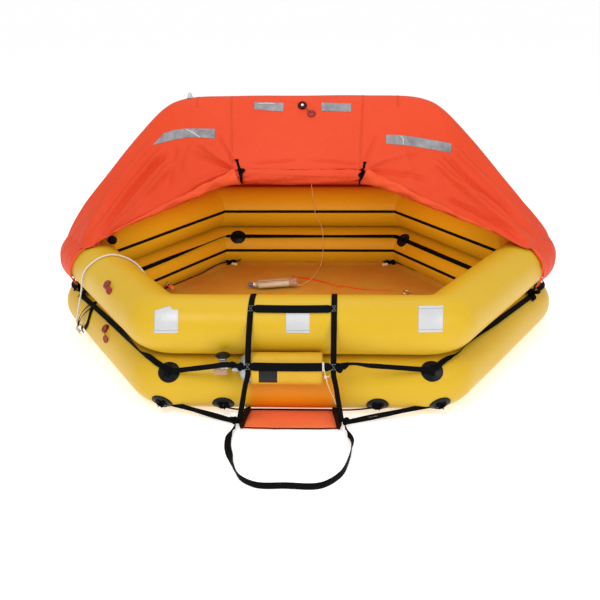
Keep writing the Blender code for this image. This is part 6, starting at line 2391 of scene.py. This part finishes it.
@dataclass
class Floor:
    """The floor's cloth with its folds, the cord round its edge, and what lies on it."""

    level: float = 0.0345
    rise: float = 0.01
    inset: float = 0.075
    limits: Pair = (0.003, 0.046)
    thickness: float = 0.0016
    battery_start: Point = (-0.305, 0.380, 0.0600)
    battery_end: Point = (-0.068, 0.424, 0.0620)
    torch_start: Point = (-0.795, 0.352, 0.0660)
    torch_way: Point = (0.52, -0.854, 0.0)

    def sheet(self) -> Item:
        """Make the floor's cloth: a hexagon with soft creases, turned up along the tube."""
        positions = HULL.walk(0.0, 6.0, 0.02, 10)[:-1]
        edge = np.array([HULL.around(p)[0] - HULL.around(p)[1] * self.inset for p in positions])
        rings = []
        for share in np.concatenate([np.linspace(0.004, 0.9, 60), np.linspace(0.91, 1.0, 14)]):
            flat = edge * share
            points = np.concatenate([flat, np.zeros((len(flat), 1))], 1)
            height = self.level + 0.0012 * ripple(points, 0.22, 61) + 0.0007 * ripple(points * (1, 2.2, 1), 0.07, 62)
            height += self.rise * float(ease(np.array(share), 0.93, 1.0)) - 0.006
            points[:, 2] = np.clip(height, *self.limits)
            rings.append(points)
        points = np.array(rings)
        item = grid("floor_cloth", points, None, UP, False, True, sharp=180)
        with edited(item.data) as shape:
            inner = [vert for vert in shape.verts if Vector((vert.co.x, vert.co.y)).length < 0.012]
            bmesh.ops.pointmerge(shape, verts=inner, merge_co=Vector((0, 0, 0.0285)))
        item.data.shade_smooth()
        thicken(item, self.thickness, -1.0)
        finish(item, Finishes.FLOOR, "floor", "raft_floor")
        return item

    def edge_cord(self) -> None:
        """Make the thin cord round the floor's edge, with its knots and white toggles."""
        route = [(0.8, 0.4, 0.046), (0.778, 0.444, 0.046), (0.64, 0.668, 0.042), (0.512, 0.838, 0.038),
                 (0.47, 0.853, 0.0376), (0.0, 0.8545, 0.0362), (-0.47, 0.855, 0.0352), (-0.512, 0.838, 0.037),
                 (-0.65, 0.604, 0.04), (-0.789, 0.371, 0.046), (-0.9, 0.19, 0.046), (-0.93, 0.1, 0.046)]
        lift = vec(0.0, 0.0, 0.0045)
        path = smooth([np.array(stop) + lift for stop in route], step=0.008)
        item = rope("floor_edge_cord", path, 0.0032, Finishes.TAPE, "webbing")
        parts, caps = [item], []
        for place, spin in (((-0.5, 0.846, 0.046), 0.4), ((0.497, 0.842, 0.046), 1.5)):
            side = -1.0 if place[0] < 0 else 1.0
            parts.append(coat_item(knot("edge_knot", np.array(place), (0.0, -0.6, 0.8), 0.032, 0.021,
                                        (((-side, -0.1, 0.25), 0.075), ((side * 0.8, 0.3, 0.4), 0.055)), spin),
                                   Finishes.WEBBING))
            spot = np.array(place) + vec(-side * 0.018, -0.03, -0.01)
            profile = [(0.0, 0.036), (0.008, 0.034), (0.0102, 0.029), (0.0088, 0.02), (0.0088, 0.015),
                       (0.0104, 0.006), (0.008, 0.0), (0.0, 0.0)]
            caps.append(lathe("toggle", profile, spot, (-side * 0.8, -0.5, 0.1), 24))
        join("floor_edge_ties", parts)
        bpy.data.objects["floor_edge_ties"].name = "floor_edge_cord"
        finish(join("floor_toggles", caps), Finishes.WHITE, "rope")
        dots = []
        for position, degrees in ((1.873, 158.5), (0.845, 160.0)):
            place = HULL.spot(position, degrees, HULL.tube - 0.001, HULL.lower)
            dots.append(lathe("dot", [(0.0, 0.003), (0.004, 0.0025), (0.0055, 0.0), (0.0, -0.001)], place,
                              HULL.normal(position, degrees), 20))
        finish(join("tube_dots", dots), Finishes.WHITE, "rope")

    def battery(self) -> None:
        """Make the battery: a pleated clear film over pale cells, with a blue and a white end."""
        start, end = np.array(self.battery_start), np.array(self.battery_end)
        along = unit(end - start)
        beside = unit(np.cross(UP, along))
        parts = []
        for row in (-0.02, 0.02):
            cell = [(0.0, 0.0), (0.0165, 0.001), (0.0172, 0.004), (0.0172, 0.17), (0.016, 0.175), (0.0, 0.175)]
            parts += turned(start + along * 0.02 + beside * row, along, (Finishes.WHITE, cell, 24))
        tip = [(0.0, 0.0), (0.01, 0.001), (0.012, 0.008), (0.012, 0.026), (0.0, 0.026)]
        parts += turned(start - along * 0.036, along, (Finishes.BLUE, tip, 24))
        collar = [(0.0, 0.0), (0.0105, 0.0), (0.0112, 0.018), (0.008, 0.024), (0.0, 0.024)]
        parts += turned(start - along * 0.009, along, (Finishes.WHITE, collar, 24))
        plug = [(0.0, 0.0), (0.007, 0.0), (0.0075, 0.035), (0.004, 0.046), (0.0, 0.046)]
        parts += turned(end - along * 0.048, along, (Finishes.WHITE, plug, 20))
        finish(join("battery_cells", parts), Finishes.WHITE, "clear_plastic", "battery_bag")
        count, around = 130, 40
        share = np.linspace(0, 1, count)
        line = start + (end - start) * share[:, None]
        angles = round_angles(around)
        flare = 1 + 0.22 * ease(share, 0.86, 1.0) - 0.45 * (1 - ease(share, 0.0, 0.1))
        pleat = 1 + 0.05 * np.sin(share * 190)[:, None] * (0.5 + 0.5 * np.sin(angles * 3 + share[:, None] * 9))
        sections = np.stack([np.cos(angles)[None] * 0.041 * flare[:, None] * pleat,
                             np.sin(angles)[None] * 0.0218 * (0.6 + 0.4 * flare[:, None]) * pleat], -1)
        film = sweep("battery_film", line, sections, guide=UP, sharp=180)
        finish(film, Finishes.CLEAR, "clear_plastic")
        rows = [np.array([start + along * 0.02, end - along * 0.03]) + beside * side + UP * 0.02
                for side in (0.02, -0.02)]
        item = repeat_along("film_pleats", rows, pleat_piece(), 0.007, Finishes.WHITE, 0.25, 9)
        finish(item, Finishes.WHITE, "clear_plastic")

    def gear(self) -> None:
        """Make the torch and the small metal clip on the floor."""
        start, way = np.array(self.torch_start), unit(np.array(self.torch_way))
        tip = [(0.0, -0.0005), (0.0115, 0.0), (0.014, 0.002), (0.014, 0.0175), (0.0, 0.0175)]
        band = [(0.0, 0.0176), (0.0145, 0.0176), (0.0147, 0.0185), (0.0147, 0.0275), (0.0, 0.0275)]
        body = [(0.0, 0.0276), (0.0136, 0.0276), (0.0138, 0.052), (0.0118, 0.06), (0.008, 0.065), (0.0, 0.0658)]
        parts = turned(start, way, (Finishes.WHITE, tip, 36), (Finishes.RUBBER, band, 36),
                       (Finishes.ORANGE, body, 36))
        lanyard = smooth([start + (0.004, 0.01, 0.006), start + (-0.01, 0.016, 0.012),
                          start + (-0.004, -0.004, 0.018), start + (0.006, -0.008, 0.01)], step=0.003)
        parts.append(coat_item(sweep("torch_loop", lanyard, round_section(0.0015, 8)), Finishes.TAPE))
        finish(join("torch_pieces", parts), Finishes.ORANGE, "canopy", "hand_torch")
        loop = smooth([(0.53, 0.296, 0.044), (0.545, 0.314, 0.05), (0.566, 0.306, 0.046), (0.56, 0.288, 0.043),
                       (0.54, 0.282, 0.043), (0.531, 0.292, 0.05)], step=0.003)
        clip = [coat_item(sweep("clip_hook", loop, round_section(0.0032, 10)), Finishes.STEEL)]
        bar = smooth([(0.558, 0.29, 0.042), (0.575, 0.276, 0.041), (0.59, 0.27, 0.042)], step=0.003)
        clip.append(coat_item(ribbon("clip_bar", bar, UP, 0.012, 0.003), Finishes.STEEL))
        finish(join("floor_clip", clip), Finishes.STEEL, "steel")

    def fold(self, tree: BVHTree) -> None:
        """Lay the red fold in the floor's cloth behind the battery."""
        lines = []
        for pixels, width in ((((292, 276.4), (305, 278.4), (322, 281.8), (342, 288)), 0.02),
                              (((340, 286), (362, 289.5), (392, 291.0)), 0.012)):
            path, ways = laid(tree, pixels, 0.0022)
            lines.append(ribbon("floor_fold", path, ways, width, 0.003, widths=((0, 0.4), (0.3, 1), (1, 0.2))))
        finish(join("floor_fold", lines), Finishes.FOLD, "floor")

    def build(self) -> None:
        """Make the floor and everything on it."""
        item = self.sheet()
        tree = surface_tree([item])
        self.fold(tree)
        self.edge_cord()
        self.battery()
        self.gear()


def pleat_piece() -> Item:
    """Make one pale pleat of the battery's film: a thin bent thread across +Z."""
    line = np.array([(0.0, -0.0075, 0.0), (0.0006, -0.0035, 0.0006), (0.0008, 0.0, 0.0), (0.0006, 0.0035, -0.0006),
                     (0.0, 0.0075, 0.0)])
    return sweep("pleat", line, round_section(0.00035, 6), guide=vec(1.0, 0.0, 0.0))


@dataclass
class Studio:
    """The pale floor, the white surroundings and the soft lights."""

    floor_size: float = 400.0
    floor_drop: float = 0.0004
    floor_colour: Colour = (0.9, 0.9, 0.9)
    floor_shade: Colour = (0.87, 0.87, 0.87)
    world_strength: float = 0.58
    floor_glow: float = 0.52

    def lamp(self, name: str, place: tuple, target: tuple, size: Pair, power: float,
             colour: Colour = (1.0, 1.0, 1.0)) -> None:
        """Add a soft oblong light.

        Args:
            name: The light's name.
            place: Where it is.
            target: What it points at.
            size: Its two side lengths.
            power: Its power in watts.
            colour: Its colour.
        """
        data = bpy.data.lights.new(name, "AREA")
        data.shape = "RECTANGLE"
        data.size, data.size_y = size
        data.energy = power
        data.color = colour
        item = stand(name, data)
        way = Vector(target) - Vector(place)
        item.visible_camera = False
        item.matrix_world = Matrix.Translation(place) @ way.to_track_quat("-Z", "Y").to_matrix().to_4x4()

    def build(self) -> None:
        """Make the floor, the world and the lights."""
        half, low = self.floor_size / 2, -self.floor_drop
        corners = np.array([(-half, -half, low), (half, -half, low), (half, half, low), (-half, half, low)])
        floor = place_mesh("studio_floor", corners, [(0, 1, 2, 3)], None, UP)
        floor.data.materials.append(Finish("pale_floor", self.floor_colour, self.floor_shade, 0.6, 0.7,
                                           cloud=1.5, amount=0.2, glow=self.floor_glow).make())
        world = bpy.data.worlds.new("studio")
        bpy.context.scene.world = world
        world.use_nodes = True
        back = world.node_tree.nodes["Background"]
        back.inputs["Color"].default_value = (1.0, 1.0, 1.0, 1.0)
        back.inputs["Strength"].default_value = self.world_strength
        self.lamp("key_light", (-1.8, -4.6, 4.8), (0.0, -0.3, 0.4), (2.2, 2.2), 112.0)
        self.lamp("fill_light", (3.2, -4.0, 3.0), (0.2, -0.4, 0.3), (2.4, 2.4), 56.0)
        self.lamp("top_light", (0.0, 0.6, 5.0), (0.0, 0.0, 0.5), (4.0, 4.0), 60.0)
        self.lamp("canopy_glow", (0.0, 0.05, 0.74), (0.0, 0.8, 0.28), (1.2, 0.3), 2.2, (1.0, 0.44, 0.12))
        self.lamp("doorway_glow", (0.0, -0.2, 0.47), (0.0, 0.8, 0.36), (1.3, 0.26), 4.4, (1.0, 0.9, 0.5))
        bpy.context.scene.view_settings.view_transform = "Standard"


def main() -> None:
    """Build the whole scene in order: camera, cords, then each sub-assembly."""
    logging.basicConfig(level=logging.INFO, format="%(name)s: %(message)s")
    CAMERA.build()
    cords = Cords()
    cords.build()
    Studio().build()
    Tubes().build()
    upper = surface_tree([bpy.data.objects["upper_tube_skin"]])
    lower = surface_tree([bpy.data.objects["lower_tube_skin"]])
    tubes = surface_tree([bpy.data.objects["upper_tube_skin"], bpy.data.objects["lower_tube_skin"]])
    Arch().build()
    canopy = Canopy()
    canopy.build()
    door = Door().build()
    strips = Markings().build(canopy.tree, upper)
    canopy.declare([door, *strips])
    Floor().build()
    Valves().build(canopy.tree, tubes)
    Bottle().build()
    Ladder().build()
    Patches().build(lower)
    Lines().build()
    Painter().build(cords)


if __name__ == "__main__":
    main()
